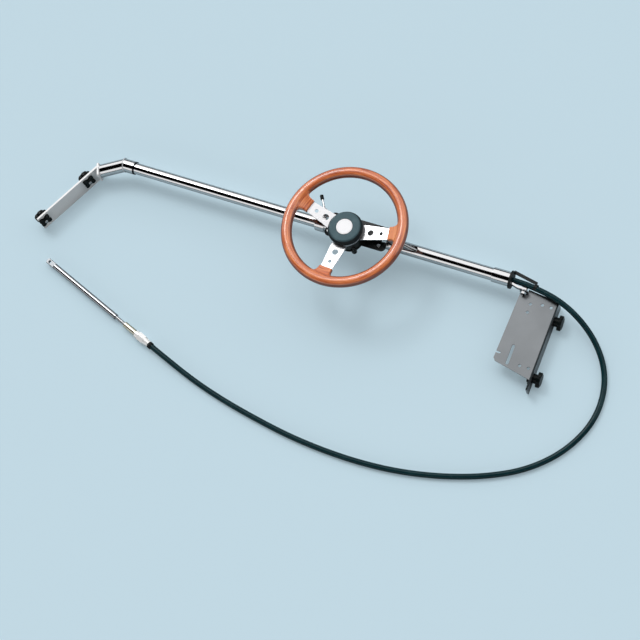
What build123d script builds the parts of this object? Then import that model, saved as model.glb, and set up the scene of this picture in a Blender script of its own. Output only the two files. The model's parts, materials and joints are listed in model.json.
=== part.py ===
"""Telescopic steering bar for an inflatable boat, with wheel, helm and push-pull cable.

Millimetres, +Z up, floor at z = 0. The bar lies along X and the wheel axis stands along Z.
Places along the bar are written as a distance from the wheel axis and named ..._x, and
places across it are written as a distance from the wheel axis and named ..._y.
"""

from build123d import *
from math import asin, atan2, cos, radians, sin, sqrt, tan
import os

os.makedirs("parts", exist_ok=True)

# Where the wheel axis stands in the row's frame
wheel_x = 155.5
wheel_y = 35.0

# Fits
run_gap = 0.05
slide_gap = 0.1
face_gap = 0.5
soft_gap = 0.3
edge_round = 1.2

# Telescopic bar
bar_height = 54.0
outer_tube_od = 34.0
outer_tube_wall = 1.0
inner_tube_wall = 1.5
outer_left_x = -113.0
outer_right_x = 437.0
inner_right_x = 0.0
collar_right_x = -680.0
mitre_x = -716.0
squeeze_slit_length = 45.0
squeeze_slit_width = 1.6

# Cable slot in the top of the outer tube
slot_left_x = 118.0
slot_right_x = 181.0
slot_width = 17.0

# Clamp collar and lever
clamp_od = 44.0
clamp_width = 26.0
clamp_split = 3.0
clamp_ear = 8.0
clamp_bolt_offset = 30.0
clamp_bolt_diameter = 8.0
clamp_bolt_across = 13.0
clamp_bolt_head = 5.0
clamp_bolt_cap = 12.0
clamp_bolt_cap_height = 3.0
lever_eye_height = 9.0
lever_eye_radius = 8.0
lever_reach_x = -20.0
lever_reach_y = 30.0
lever_rod_diameter = 6.0
lever_knob_diameter = 10.0
lever_knob_length = 15.0

# Bent arm and the left clamp plate
arm_od = 37.0
arm_wall = 2.0
arm_bend = 26.0
arm_dip = 9.0
arm_run = 88.0
left_plate_angle = 26.6
left_plate_height = 60.0
left_plate_thickness = 5.0
left_plate_above_arm = 13.0
left_plate_below_arm = 217.0
left_plate_corner = 4.0
arm_end_cover = 29.0
arm_end_cover_back = 12.0
arm_end_cover_height = 39.0
left_knob_first = 35.5
left_knob_spacing = 165.0
left_knob_height = 36.0

# Hand knobs, their studs and star pads
knob_diameter = 40.0
knob_head = 10.0
knob_boss_diameter = 25.0
knob_boss = 7.0
knob_lobes = 5
knob_lobe_cut = 2.2
knob_round = 3.0
stud_diameter = 8.0
stud_in_knob = 12.0
stud_beyond_pad = 3.0
knob_bore_spare = 1.0
washer_thickness = 1.5
bush_thickness = 5.0
pad_radius = 21.0
pad_thickness = 7.0
pad_arms = 4
pad_arm_width = 13.0
pad_hub_radius = 11.0

# Right end of the bar
sleeve_left_x = 389.5
sleeve_od = 39.0
cap_od = 45.0
cap_flange = 6.0
cap_plug = 12.0
cable_diameter = 15.0
strap_width = 8.5
strap_thickness = 3.0
strap_loop_reach = 64.0
strap_loop_wall = 1.5

# Tongue that carries the control bracket
tongue_thickness = 5.0
tongue_height = 15.0
tongue_grip = 37.0
tongue_drop_y = 11.0
tongue_joggle_start = 10.0
tongue_joggle_run = 16.0
tongue_eye_drop_y = 15.5
tongue_reach = 44.0
pivot_bolt_diameter = 8.0
pivot_nut_across = 13.0
pivot_nut_thickness = 6.5
pivot_head_thickness = 4.0

# Control bracket: plate corners go round from the pivot corner
plate_top = 43.0
plate_thickness = 3.0
plate_left_top = (471.5, 7.5)
plate_step = (490.0, 17.0)
plate_right_top_y = 8.0
plate_right_bottom_y = -211.0
plate_left_bottom = (466.0, -188.5)
plate_corner_cut = 6.0
clamp_plate_x = 571.5
clamp_plate_thickness = 4.0
clamp_plate_end_y = -238.0
clamp_plate_low_corner = 8.0
clamp_plate_far_corner = 2.0
right_knob_first_y = -38.0
right_knob_spacing = 160.0
ear_width = 22.0
hole_diameter = 8.0
box_holes_x = 548.1
box_holes_y = -97.7
box_holes_spacing_x = 23.2
box_holes_spacing_y = 171.0
side_holes_x = 506.5
side_holes_y = -30.4
side_holes_spacing = 23.2
long_slot_x = 504.0
long_slot_top_y = -134.8
long_slot_bottom_y = -190.3
edge_slot_y = -165.5
edge_slot_length = 13.0
edge_slot_width = 5.0

# Helm
drum_radius = 26.0
drum_flange = 3.0
drum_width = 16.0
core_diameter = 6.0
cord_rise = 1.0
saddle_thickness = 4.0
saddle_left_x = -78.0
saddle_right_x = 98.0
saddle_half_width = 34.0
saddle_corner = 12.0
saddle_helm_rim = 2.0
saddle_ear_rim = 1.0
helm_wall = 3.0
helm_height = 34.0
helm_top_wall = 8.0
helm_round = 4.0
helm_ear_radius = 6.0
helm_ear_angles = (-53.0, 120.0, 187.0)
helm_ear_offset = 4.0
helm_ear_height = 12.0
outlet_right_x = 88.0
outlet_width = 22.0
outlet_height = 26.0
conduit_left_x = 60.0
conduit_nut_length = 12.0
conduit_nut_across = 22.0
conduit_bend_radius = 80.0
shaft_diameter = 16.0
bush_wall = 4.0
shaft_tip_diameter = 10.0
u_bolt_left_x = -66.0
u_bolt_right_x = 80.0
u_bolt_rod = 5.0
u_bolt_half_span = 22.0
u_bolt_nut_across = 9.0
u_bolt_nut_height = 4.5
u_bolt_tip = 3.0
helm_screw_diameter = 5.0
helm_screw_head = 8.5
helm_screw_head_height = 3.0

# Wheel
wheel_diameter = 340.0
rim_section_width = 30.0
rim_section_height = 26.0
spoke_drop = 24.0
spoke_thickness = 3.0
spoke_angles = (165.0, 9.0, -93.0)
spoke_hub_radius = 44.5
spoke_root_radius = 43.5
spoke_end_radius = 117.0
spoke_tuck = 18.0
spoke_rise = 12.0
spoke_root_width = 42.0
spoke_end_width = 32.0
big_hole_radius = 68.0
big_hole_diameter = 17.0
small_hole_radius = 97.5
small_hole_diameter = 10.0
lug_side = 2.5
lug_above = 6.0
lug_below = 5.0
lug_flare = 20.0
lug_bite = 5.0
lug_crown = 6.0
lug_shoulder = 2.0
boss_gap = 2.0
boss_height = 21.0
boss_flange = 9.0
boss_bottom_radius = 24.0
boss_top_radius = 36.0
hub_screw_pcd = 56.0
hub_screw_count = 6
hub_screw_diameter = 5.0
hub_screw_head = 8.5
hub_screw_head_height = 3.0
hub_nut_across = 24.0
hub_nut_height = 9.0
shaft_tip_beyond = 1.5
cap_base_diameter = 86.0
cap_wide_diameter = 94.0
cap_face_diameter = 80.0
cap_wide_height = 9.0
cap_wide_band = 4.0
cap_face_round = 4.0
hub_cap_wall = 3.5
badge_recess_diameter = 46.0
badge_recess_depth = 2.0
badge_diameter = 43.5
badge_thickness = 2.5
badge_round = 0.8

# Free steering cable: route points from the wheel axis, with the height above the floor,
# and the share of the shorter run that each bend takes
bend_share = 0.45
cable_points = [
    (443.0, 26.0, 54.0),
    (498.0, 26.0, 54.0),
    (602.0, 0.3, 60.0),
    (690.7, -51.6, 20.0),
    (748.0, -136.0, 7.5),
    (758.4, -242.6, 7.5),
    (717.2, -342.4, 7.5),
    (643.4, -420.7, 7.5),
    (551.0, -472.5, 7.5),
    (451.2, -508.4, 7.5),
    (348.3, -532.7, 7.5),
    (243.1, -545.2, 7.5),
    (136.9, -547.3, 7.5),
    (31.4, -541.7, 7.5),
    (-73.2, -527.6, 7.5),
    (-177.3, -509.6, 7.5),
    (-279.4, -485.3, 7.5),
    (-383.7, -451.4, 13.0),
    (-430.9, -435.1, 13.0),
]

# Fittings on the far end, as distances along the ram axis from the end of the cable
boot_length = 10.0
boot_radius = 9.5
boot_taper = 1.0
nut_start = 10.5
nut_cone_length = 18.0
nut_hex_length = 22.0
nut_collar_length = 10.5
nut_hex_across = 22.4
nut_cone_radius = 9.0
nut_collar_radius = 11.0
spring_sleeve_start = 61.5
spring_sleeve_length = 44.0
spring_sleeve_radius = 8.5
support_radius = 5.0
support_bore_radius = 3.0
ram_start = 142.0
ram_end = 425.7
ram_radius = 8.0
ram_tip_round = 3.0
ram_bore_floor = 4.0
ram_inward_travel = 25.0
ram_rest_gap = 1.0
ram_flat_length = 30.0
ram_flat_thickness = 9.0
ram_eye_radius = 4.8
ram_eye_from_tip = 11.0

# Derived places
outer_radius = outer_tube_od / 2
bore_radius = outer_radius - outer_tube_wall
inner_radius = bore_radius - slide_gap
tube_top = bar_height + outer_radius
saddle_top = tube_top + saddle_thickness
helm_top = saddle_top + helm_height
helm_ceiling = helm_top - helm_top_wall
boss_floor = helm_top + boss_gap
spoke_floor = boss_floor + boss_height
spoke_top = spoke_floor + spoke_thickness
rim_height = spoke_top + spoke_drop
rim_radius = (wheel_diameter - rim_section_width) / 2
cable_radius = cable_diameter / 2
stud_radius = stud_diameter / 2
knob_radius = knob_diameter / 2
cord_height = saddle_top + outlet_height / 2 + cord_rise
tongue_left_x = outer_right_x - tongue_grip
tongue_joggle_left_x = outer_right_x + tongue_joggle_start
tongue_joggle_right_x = tongue_joggle_left_x + tongue_joggle_run
pivot_x = outer_right_x + tongue_reach
support_end = ram_end - ram_flat_length - ram_bore_floor - ram_inward_travel - ram_rest_gap


def at(x, y, z):
    """Give the row-frame point for a place measured from the wheel axis."""
    return Vector(wheel_x + x, wheel_y + y, z)


def save(part, name):
    """Label one piece and write it as its own file."""
    part.label = name
    export_step(part, f"parts/{name}.step")


def across(x, y=drum_radius, z=bar_height):
    """Give a plane square to the bar at x, facing +X, with its own x along Y."""
    return Plane(origin=at(x, y, z), x_dir=(0, 1, 0), z_dir=(1, 0, 0))


def level(z, x=0.0, y=0.0):
    """Give a level plane at height z over a place measured from the wheel axis."""
    return Plane(origin=at(x, y, z), x_dir=(1, 0, 0), z_dir=(0, 0, 1))


# Outer tube, open at both ends, slit where the collar squeezes it
outer_length = outer_right_x - outer_left_x
with BuildPart() as outer_tube:
    with BuildSketch(across(outer_left_x)):
        Circle(outer_radius)
        Circle(bore_radius, mode=Mode.SUBTRACT)
    extrude(amount=outer_length)
    with BuildSketch(level(bar_height, (slot_left_x + slot_right_x) / 2, drum_radius)):
        SlotOverall(slot_right_x - slot_left_x, slot_width)
    extrude(amount=outer_tube_od, mode=Mode.SUBTRACT)
    slit_middle = outer_left_x + squeeze_slit_length / 2
    with BuildSketch(level(bar_height - outer_tube_od, slit_middle, drum_radius)):
        Rectangle(squeeze_slit_length, squeeze_slit_width)
    extrude(amount=outer_tube_od * 2, mode=Mode.SUBTRACT)
save(outer_tube.part, "outer_tube")

# Inner tube, sliding in the outer one
inner_left_x = mitre_x + inner_radius
with BuildPart() as inner_tube:
    with BuildSketch(across(inner_left_x)):
        Circle(inner_radius)
        Circle(inner_radius - inner_tube_wall, mode=Mode.SUBTRACT)
    extrude(amount=inner_right_x - inner_left_x)
save(inner_tube.part, "inner_tube")

# Split collar that locks the telescope
ear_reach = clamp_bolt_offset + clamp_bolt_diameter
ear_outer = clamp_split / 2 + clamp_ear
with BuildPart() as tube_clamp:
    with BuildSketch(across(outer_left_x)):
        Circle(clamp_od / 2)
        with Locations((ear_reach / 2, 0)):
            Rectangle(ear_reach, 2 * ear_outer)
        Circle(outer_radius, mode=Mode.SUBTRACT)
        with Locations((ear_reach / 2 + outer_radius / 2, 0)):
            Rectangle(ear_reach, clamp_split, mode=Mode.SUBTRACT)
    extrude(amount=clamp_width)
    far_edges = tube_clamp.edges().filter_by(Axis.Z).group_by(Axis.Y)[-1]
    fillet(far_edges, radius=clamp_bolt_diameter - 0.5)
    clamp_x = outer_left_x + clamp_width / 2
    bolt_y = drum_radius + clamp_bolt_offset
    with BuildSketch(level(bar_height - clamp_od, clamp_x, bolt_y)):
        Circle(clamp_bolt_diameter / 2 + run_gap)
    extrude(amount=clamp_od * 2, mode=Mode.SUBTRACT)
save(tube_clamp.part, "tube_clamp")

# Bolt through the collar ears with its nut, as one fixed spindle for the lever
ear_top = bar_height + ear_outer
bolt_bottom = bar_height - ear_outer - clamp_bolt_head
bolt_cap_floor = ear_top + lever_eye_height + face_gap
with BuildPart() as clamp_bolt:
    with BuildSketch(level(bolt_bottom, clamp_x, bolt_y)):
        RegularPolygon(clamp_bolt_across / 2, 6, major_radius=False)
    extrude(amount=clamp_bolt_head)
    with BuildSketch(level(bolt_bottom, clamp_x, bolt_y)):
        Circle(clamp_bolt_diameter / 2)
    extrude(amount=bolt_cap_floor - bolt_bottom)
    with BuildSketch(level(bolt_cap_floor, clamp_x, bolt_y)):
        Circle(clamp_bolt_cap / 2)
    extrude(amount=clamp_bolt_cap_height)
    crown = clamp_bolt.faces().sort_by(Axis.Z)[-1].edges()
    fillet(crown, radius=edge_round)
save(clamp_bolt.part, "clamp_bolt")

# Lever: an eye on the bolt and a bare level rod
eye_middle = ear_top + face_gap / 2 + lever_eye_height / 2
rod_start = at(clamp_x, bolt_y, eye_middle)
rod_end = at(clamp_x + lever_reach_x, bolt_y + lever_reach_y, eye_middle)
rod_way = (rod_end - rod_start).normalized()
with BuildPart() as clamp_lever:
    with BuildSketch(level(ear_top + face_gap / 2, clamp_x, bolt_y)):
        Circle(lever_eye_radius)
    extrude(amount=lever_eye_height)
    with BuildSketch(Plane(origin=rod_start, z_dir=rod_way)):
        Circle(lever_rod_diameter / 2)
    extrude(amount=(rod_end - rod_start).length)
    with BuildSketch(level(ear_top - clamp_ear / 2, clamp_x, bolt_y)):
        Circle(clamp_bolt_diameter / 2 + run_gap)
    extrude(amount=lever_eye_height * 3, mode=Mode.SUBTRACT)
save(clamp_lever.part, "clamp_lever")

with BuildPart() as lever_knob:
    with BuildSketch(Plane(origin=rod_end, z_dir=rod_way)):
        Circle(lever_knob_diameter / 2)
    extrude(amount=lever_knob_length)
    fillet(lever_knob.edges().filter_by(GeomType.CIRCLE), radius=lever_knob_diameter / 4)
save(lever_knob.part, "lever_knob")

# Left collar and bent arm, mitred together
mitre_point = at(mitre_x, drum_radius, bar_height)
tube_way = Vector(-1, 0, 0)
arm_way = Vector(
    -cos(radians(arm_bend)) * cos(radians(arm_dip)),
    -sin(radians(arm_bend)) * cos(radians(arm_dip)),
    -sin(radians(arm_dip)),
)
mitre_plane = Plane(origin=mitre_point, z_dir=(tube_way + arm_way).normalized())
with BuildPart() as left_collar:
    with BuildSketch(across(mitre_x - arm_od)):
        Circle(arm_od / 2)
    extrude(amount=collar_right_x - mitre_x + arm_od)
    with BuildSketch(across(inner_left_x)):
        Circle(inner_radius)
    extrude(amount=outer_length, mode=Mode.SUBTRACT)
    with BuildSketch(across(mitre_x - arm_od)):
        Circle(inner_radius - inner_tube_wall)
    extrude(amount=outer_length, mode=Mode.SUBTRACT)
    split(bisect_by=mitre_plane, keep=Keep.BOTTOM)
save(left_collar.part, "left_collar")

plate_angle = radians(left_plate_angle)
plate_way = Vector(-sin(plate_angle), -cos(plate_angle), 0)
plate_out = Vector(-cos(plate_angle), sin(plate_angle), 0)
arm_length = arm_run / cos(radians(arm_dip))
arm_end = mitre_point + arm_way * arm_length
arm_level_way = Vector(-cos(radians(arm_bend)), -sin(radians(arm_bend)), 0)
left_face = Plane(origin=arm_end, x_dir=plate_way, z_dir=plate_out)
plate_start = arm_end - plate_way * left_plate_above_arm
cover_face = Plane(
    origin=plate_start, x_dir=arm_level_way.cross(Vector(0, 0, -1)), z_dir=arm_level_way
)
with BuildPart() as bent_arm:
    with BuildSketch(Plane(origin=mitre_point - arm_way * arm_od, z_dir=arm_way)):
        Circle(arm_od / 2)
        Circle(arm_od / 2 - arm_wall, mode=Mode.SUBTRACT)
    extrude(amount=arm_length + 3 * arm_od)
    split(bisect_by=mitre_plane, keep=Keep.TOP)
    split(bisect_by=cover_face, keep=Keep.BOTTOM)
save(bent_arm.part, "bent_arm")

# Left clamp plate, standing on edge, with the leg that covers the arm's end
plate_low = -arm_end.Z
plate_mid = (left_plate_below_arm - left_plate_above_arm) / 2
left_plate_length = left_plate_below_arm + left_plate_above_arm
left_knobs = [
    (left_knob_first + n * left_knob_spacing, left_knob_height - arm_end.Z) for n in range(2)
]
cover_mid = (arm_end_cover - arm_end_cover_back) / 2
cover_height = plate_low + left_plate_height - arm_end_cover_height / 2
cover_length = arm_end_cover + arm_end_cover_back
with BuildPart() as left_clamp_plate:
    with BuildSketch(left_face):
        with Locations((plate_mid, plate_low + left_plate_height / 2)):
            RectangleRounded(left_plate_length, left_plate_height, left_plate_corner)
        with Locations(*left_knobs):
            Circle(stud_radius, mode=Mode.SUBTRACT)
    extrude(amount=left_plate_thickness)
    with BuildSketch(cover_face):
        with Locations((cover_mid, cover_height)):
            RectangleRounded(cover_length, arm_end_cover_height, left_plate_corner)
    extrude(amount=left_plate_thickness)
save(left_clamp_plate.part, "left_clamp_plate")


def stud_pair(face, places, outward):
    """Make the two threaded studs that stand through one clamp plate."""
    inward = pad_thickness + stud_beyond_pad
    with BuildPart() as studs:
        with BuildSketch(face.offset(-inward)):
            with Locations(*places):
                Circle(stud_radius)
        extrude(amount=inward + outward)
    return studs.part


def pad_pair(face, places):
    """Make the two four-armed star pads on the inner side of one clamp plate."""
    with BuildPart() as pads:
        with BuildSketch(face.offset(-pad_thickness)):
            with Locations(*places):
                Circle(pad_hub_radius)
                for turn in range(pad_arms // 2):
                    spin = 45 + turn * 360 / pad_arms
                    SlotOverall(2 * pad_radius, pad_arm_width, rotation=spin)
                Circle(stud_radius, mode=Mode.SUBTRACT)
        extrude(amount=pad_thickness)
    return pads.part


def spacer(face, place, thickness):
    """Make the washer or bush that lies between one plate and its knob."""
    with BuildPart() as ring:
        with BuildSketch(face):
            with Locations(place):
                Circle(knob_boss_diameter / 2)
                Circle(stud_radius + run_gap, mode=Mode.SUBTRACT)
        extrude(amount=thickness)
    return ring.part


def hand_knob(face, place):
    """Make one lobed hand knob whose boss starts on the given face."""
    centre = face.from_local_coords(Vector(*place, 0))
    seat = Plane(origin=centre, x_dir=face.x_dir, z_dir=face.z_dir)
    with BuildPart() as knob:
        with BuildSketch(seat):
            Circle(knob_boss_diameter / 2)
        extrude(amount=knob_boss)
        with BuildSketch(seat.offset(knob_boss)):
            Circle(knob_radius)
            with PolarLocations(knob_radius + knob_radius / 2, knob_lobes):
                Circle(knob_radius / 2 + knob_lobe_cut, mode=Mode.SUBTRACT)
        extrude(amount=knob_head)
        top_face = knob.faces().sort_by(Axis(centre, face.z_dir))[-1]
        fillet(top_face.edges(), radius=knob_round)
        with BuildSketch(seat):
            Circle(stud_radius + run_gap)
        extrude(amount=stud_in_knob + knob_bore_spare, mode=Mode.SUBTRACT)
    return knob.part


def clamp_set(side, face, places, plate_thick, spacer_name, spacer_thick):
    """Make and save the studs, pads, spacers and knobs of one clamp plate."""
    outward = plate_thick + spacer_thick + stud_in_knob
    save(stud_pair(face, places, outward), f"{side}_studs")
    save(pad_pair(face, places), f"{side}_star_pads")
    outside = face.offset(plate_thick)
    for number, place in enumerate(places, start=1):
        ring = spacer(outside, place, spacer_thick)
        save(ring, f"{side}_{spacer_name}_{number}")
        knob = hand_knob(outside.offset(spacer_thick), place)
        save(knob, f"{side}_knob_{number}")


clamp_set("left", left_face, left_knobs, left_plate_thickness, "washer", washer_thickness)

# Right end sleeve, cap ring and strap
with BuildPart() as end_sleeve:
    with BuildSketch(across(sleeve_left_x)):
        Circle(sleeve_od / 2)
        Circle(outer_radius, mode=Mode.SUBTRACT)
    extrude(amount=outer_right_x - sleeve_left_x)
    fillet(end_sleeve.edges().group_by(Axis.X)[0].sort_by(SortBy.RADIUS)[-1], radius=edge_round)
save(end_sleeve.part, "end_sleeve")

tongue_z = bar_height
with BuildPart() as end_cap:
    with BuildSketch(across(outer_right_x)):
        Circle(cap_od / 2)
    extrude(amount=cap_flange)
    fillet(end_cap.edges(), radius=edge_round)
    with BuildSketch(across(outer_right_x - cap_plug)):
        Circle(bore_radius)
    extrude(amount=cap_plug)
    with BuildSketch(across(outer_right_x - cap_plug)):
        Circle(cable_radius)
        with Locations((-tongue_drop_y, 0)):
            Rectangle(tongue_thickness, tongue_height)
    extrude(amount=cap_plug + cap_flange, mode=Mode.SUBTRACT)
save(end_cap.part, "end_cap")

# Tongue: a flat bar on edge that leaves the bore, jogs sideways and ends in an eye
tongue_y = drum_radius - tongue_drop_y
eye_y = drum_radius - tongue_eye_drop_y
tongue_line = [
    (tongue_left_x, tongue_y),
    (tongue_joggle_left_x, tongue_y),
    (tongue_joggle_right_x, eye_y),
    (pivot_x, eye_y),
]
with BuildPart() as tongue:
    with BuildSketch(level(tongue_z - tongue_height / 2)):
        with BuildLine():
            run = Polyline(*tongue_line)
        trace(run, line_width=tongue_thickness)
    extrude(amount=tongue_height)
    eye_plane = Plane(
        origin=at(pivot_x, eye_y + tongue_thickness / 2, tongue_z),
        x_dir=(1, 0, 0),
        z_dir=(0, -1, 0),
    )
    with BuildSketch(eye_plane):
        Circle(tongue_height / 2)
    extrude(amount=tongue_thickness)
    with BuildSketch(eye_plane):
        Circle(pivot_bolt_diameter / 2)
    extrude(amount=tongue_thickness, mode=Mode.SUBTRACT)
save(tongue.part, "tongue")

# Control bracket: a level plate with an ear for the pivot
ear_face_y = eye_y - tongue_thickness / 2 - face_gap
plate_floor = plate_top - plate_thickness
corner_x, corner_y = plate_left_top
low_x, low_y = plate_left_bottom
step_x, step_y = plate_step
plate_outline = [
    (corner_x, corner_y),
    (step_x, corner_y),
    (step_x, step_y),
    (clamp_plate_x, plate_right_top_y),
    (clamp_plate_x, plate_right_bottom_y),
    (low_x, low_y),
]
ear_height = tongue_z - plate_floor
with BuildPart() as control_plate:
    with BuildSketch(level(plate_floor)):
        with BuildLine():
            Polyline(*plate_outline, close=True)
        make_face()
        with Locations((box_holes_x, box_holes_y)):
            with GridLocations(box_holes_spacing_x, box_holes_spacing_y, 2, 2):
                Circle(hole_diameter / 2, mode=Mode.SUBTRACT)
        with Locations((side_holes_x, side_holes_y)):
            with GridLocations(0, side_holes_spacing, 1, 2):
                Circle(hole_diameter / 2, mode=Mode.SUBTRACT)
        with Locations((long_slot_x, (long_slot_top_y + long_slot_bottom_y) / 2)):
            slot_run = long_slot_top_y - long_slot_bottom_y
            SlotOverall(slot_run, hole_diameter, rotation=90, mode=Mode.SUBTRACT)
        with Locations((low_x, edge_slot_y)):
            SlotOverall(2 * edge_slot_length, edge_slot_width, mode=Mode.SUBTRACT)
    extrude(amount=plate_thickness)
    low_corner = control_plate.edges().filter_by(Axis.Z).group_by(Axis.X)[0]
    chamfer(low_corner.sort_by(Axis.Y)[0], length=plate_corner_cut)
    ear_plane = Plane(
        origin=at(pivot_x, ear_face_y, tongue_z), x_dir=(1, 0, 0), z_dir=(0, -1, 0)
    )
    with BuildSketch(ear_plane):
        Circle(ear_width / 2)
        with Locations((0, -ear_height / 2)):
            Rectangle(ear_width, ear_height)
        Circle(pivot_bolt_diameter / 2 + run_gap, mode=Mode.SUBTRACT)
    extrude(amount=plate_thickness)
save(control_plate.part, "control_plate")

# Pivot bolt with its head on the far side of the tongue, and the bright hollow nut
with BuildPart() as pivot_bolt:
    head_y = eye_y + tongue_thickness / 2
    nut_face_y = ear_face_y - plate_thickness - face_gap
    with BuildSketch(eye_plane):
        RegularPolygon(pivot_nut_across / 2, 6, major_radius=False)
    extrude(amount=-pivot_head_thickness)
    with BuildSketch(eye_plane):
        Circle(pivot_bolt_diameter / 2)
    extrude(amount=head_y - nut_face_y + pivot_nut_thickness - plate_thickness / 2)
save(pivot_bolt.part, "pivot_bolt")

nut_plane = Plane(
    origin=at(pivot_x, nut_face_y, tongue_z), x_dir=(1, 0, 0), z_dir=(0, -1, 0)
)
with BuildPart() as pivot_nut:
    with BuildSketch(nut_plane):
        RegularPolygon(pivot_nut_across / 2, 6, major_radius=False)
        Circle(pivot_bolt_diameter / 2, mode=Mode.SUBTRACT)
    extrude(amount=pivot_nut_thickness)
save(pivot_nut.part, "pivot_nut")

# Right clamp plate hanging from the outer edge of the control plate
right_face = across(clamp_plate_x, 0.0, plate_top / 2)
right_knobs = [(right_knob_first_y - n * right_knob_spacing, 0.0) for n in range(2)]
clamp_plate_mid = (plate_right_top_y + clamp_plate_end_y) / 2
with BuildPart() as right_clamp_plate:
    with BuildSketch(right_face):
        with Locations((clamp_plate_mid, 0)):
            Rectangle(plate_right_top_y - clamp_plate_end_y, plate_top)
        with Locations(*right_knobs):
            Circle(stud_radius, mode=Mode.SUBTRACT)
    extrude(amount=clamp_plate_thickness)
    near_end = right_clamp_plate.edges().filter_by(Axis.X).group_by(Axis.Y)[0]
    fillet(near_end.sort_by(Axis.Z)[0], radius=clamp_plate_low_corner)
    far_end = right_clamp_plate.edges().filter_by(Axis.X).group_by(Axis.Y)[-1]
    fillet(far_end, radius=clamp_plate_far_corner)
save(right_clamp_plate.part, "right_clamp_plate")
clamp_set(
    "right", right_face, right_knobs, clamp_plate_thickness, "bush", bush_thickness
)

# Helm: a saddle plate on top of the bar, held by two U-bolts
saddle_length = saddle_right_x - saddle_left_x
saddle_middle = (saddle_left_x + saddle_right_x) / 2
helm_radius = drum_radius + drum_flange + helm_wall + face_gap
helm_ear_circle = helm_radius + helm_ear_offset
helm_ears = [
    (helm_ear_circle * cos(radians(angle)), helm_ear_circle * sin(radians(angle)))
    for angle in helm_ear_angles
]
u_bolt_legs = [
    (x, drum_radius + s * u_bolt_half_span)
    for x in (u_bolt_left_x, u_bolt_right_x)
    for s in (-1, 1)
]
with BuildPart() as saddle_plate:
    with BuildSketch(level(tube_top)):
        with Locations((saddle_middle, drum_radius)):
            RectangleRounded(saddle_length, 2 * saddle_half_width, saddle_corner)
        Circle(helm_radius + saddle_helm_rim)
        with Locations(*helm_ears):
            Circle(helm_ear_radius + saddle_ear_rim)
        with Locations(*u_bolt_legs):
            Circle(u_bolt_rod / 2 + run_gap, mode=Mode.SUBTRACT)
        with Locations(*helm_ears):
            Circle(helm_screw_diameter / 2, mode=Mode.SUBTRACT)
        Circle(shaft_tip_diameter / 2 + run_gap, mode=Mode.SUBTRACT)
    extrude(amount=saddle_thickness)
save(saddle_plate.part, "saddle_plate")

# Housing over the drum, with ears for its screws and a block where the cable leaves
drum_room = drum_radius + drum_flange + face_gap
with BuildPart() as helm_housing:
    with BuildSketch(level(saddle_top)):
        Circle(helm_radius)
    extrude(amount=helm_height)
    fillet(helm_housing.edges().group_by(Axis.Z)[-1], radius=helm_round)
    with BuildSketch(level(saddle_top)):
        with Locations(*helm_ears):
            Circle(helm_ear_radius)
    extrude(amount=helm_ear_height)
    with BuildSketch(level(saddle_top)):
        with Locations((outlet_right_x / 2, drum_radius)):
            Rectangle(outlet_right_x, outlet_width)
    extrude(amount=outlet_height)
    with BuildSketch(level(saddle_top)):
        Circle(drum_room)
    extrude(amount=helm_height - helm_top_wall, mode=Mode.SUBTRACT)
    with BuildSketch(across(0.0, drum_radius, cord_height)):
        Circle(core_diameter / 2 + run_gap)
    extrude(amount=outlet_right_x, mode=Mode.SUBTRACT)
    with BuildSketch(across(conduit_left_x, drum_radius, cord_height)):
        Circle(cable_radius)
    extrude(amount=outlet_right_x, mode=Mode.SUBTRACT)
    with BuildSketch(level(saddle_top)):
        Circle(shaft_diameter / 2 + run_gap + bush_wall)
        with Locations(*helm_ears):
            Circle(helm_screw_diameter / 2)
    extrude(amount=helm_height, mode=Mode.SUBTRACT)
    with BuildSketch(level(saddle_top + helm_ear_height)):
        with Locations(*helm_ears):
            Circle(helm_screw_head / 2 + soft_gap)
    extrude(amount=helm_height, mode=Mode.SUBTRACT)
save(helm_housing.part, "helm_housing")

with BuildPart() as helm_bush:
    with BuildSketch(level(helm_ceiling)):
        Circle(shaft_diameter / 2 + run_gap + bush_wall)
        Circle(shaft_diameter / 2 + run_gap, mode=Mode.SUBTRACT)
    extrude(amount=helm_top_wall)
save(helm_bush.part, "helm_bush")

with BuildPart() as helm_screws:
    with BuildSketch(level(tube_top)):
        with Locations(*helm_ears):
            Circle(helm_screw_diameter / 2)
    extrude(amount=saddle_thickness + helm_ear_height)
    with BuildSketch(level(saddle_top + helm_ear_height)):
        with Locations(*helm_ears):
            Circle(helm_screw_head / 2)
    extrude(amount=helm_screw_head_height)
save(helm_screws.part, "helm_screws")

# U-bolts round the underside of the bar, and their nuts
bend_z = bar_height - outer_radius - run_gap - u_bolt_rod / 2 + u_bolt_half_span
leg_top = saddle_top + u_bolt_nut_height + u_bolt_tip
with BuildPart() as u_bolts:
    for x in (u_bolt_left_x, u_bolt_right_x):
        left_leg = at(x, drum_radius - u_bolt_half_span, leg_top)
        right_leg = at(x, drum_radius + u_bolt_half_span, leg_top)
        left_turn = at(x, drum_radius - u_bolt_half_span, bend_z)
        right_turn = at(x, drum_radius + u_bolt_half_span, bend_z)
        bottom = at(x, drum_radius, bend_z - u_bolt_half_span)
        with BuildLine() as u_path:
            Line(left_leg, left_turn)
            ThreePointArc(left_turn, bottom, right_turn)
            Line(right_turn, right_leg)
        with BuildSketch(Plane(origin=left_leg, z_dir=(0, 0, -1))):
            Circle(u_bolt_rod / 2)
        sweep(path=u_path.line)
save(u_bolts.part, "u_bolts")

with BuildPart() as u_bolt_nuts:
    with BuildSketch(level(saddle_top)):
        with Locations(*u_bolt_legs):
            RegularPolygon(u_bolt_nut_across / 2, 6, major_radius=False)
            Circle(u_bolt_rod / 2, mode=Mode.SUBTRACT)
    extrude(amount=u_bolt_nut_height)
save(u_bolt_nuts.part, "u_bolt_nuts")

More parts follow.
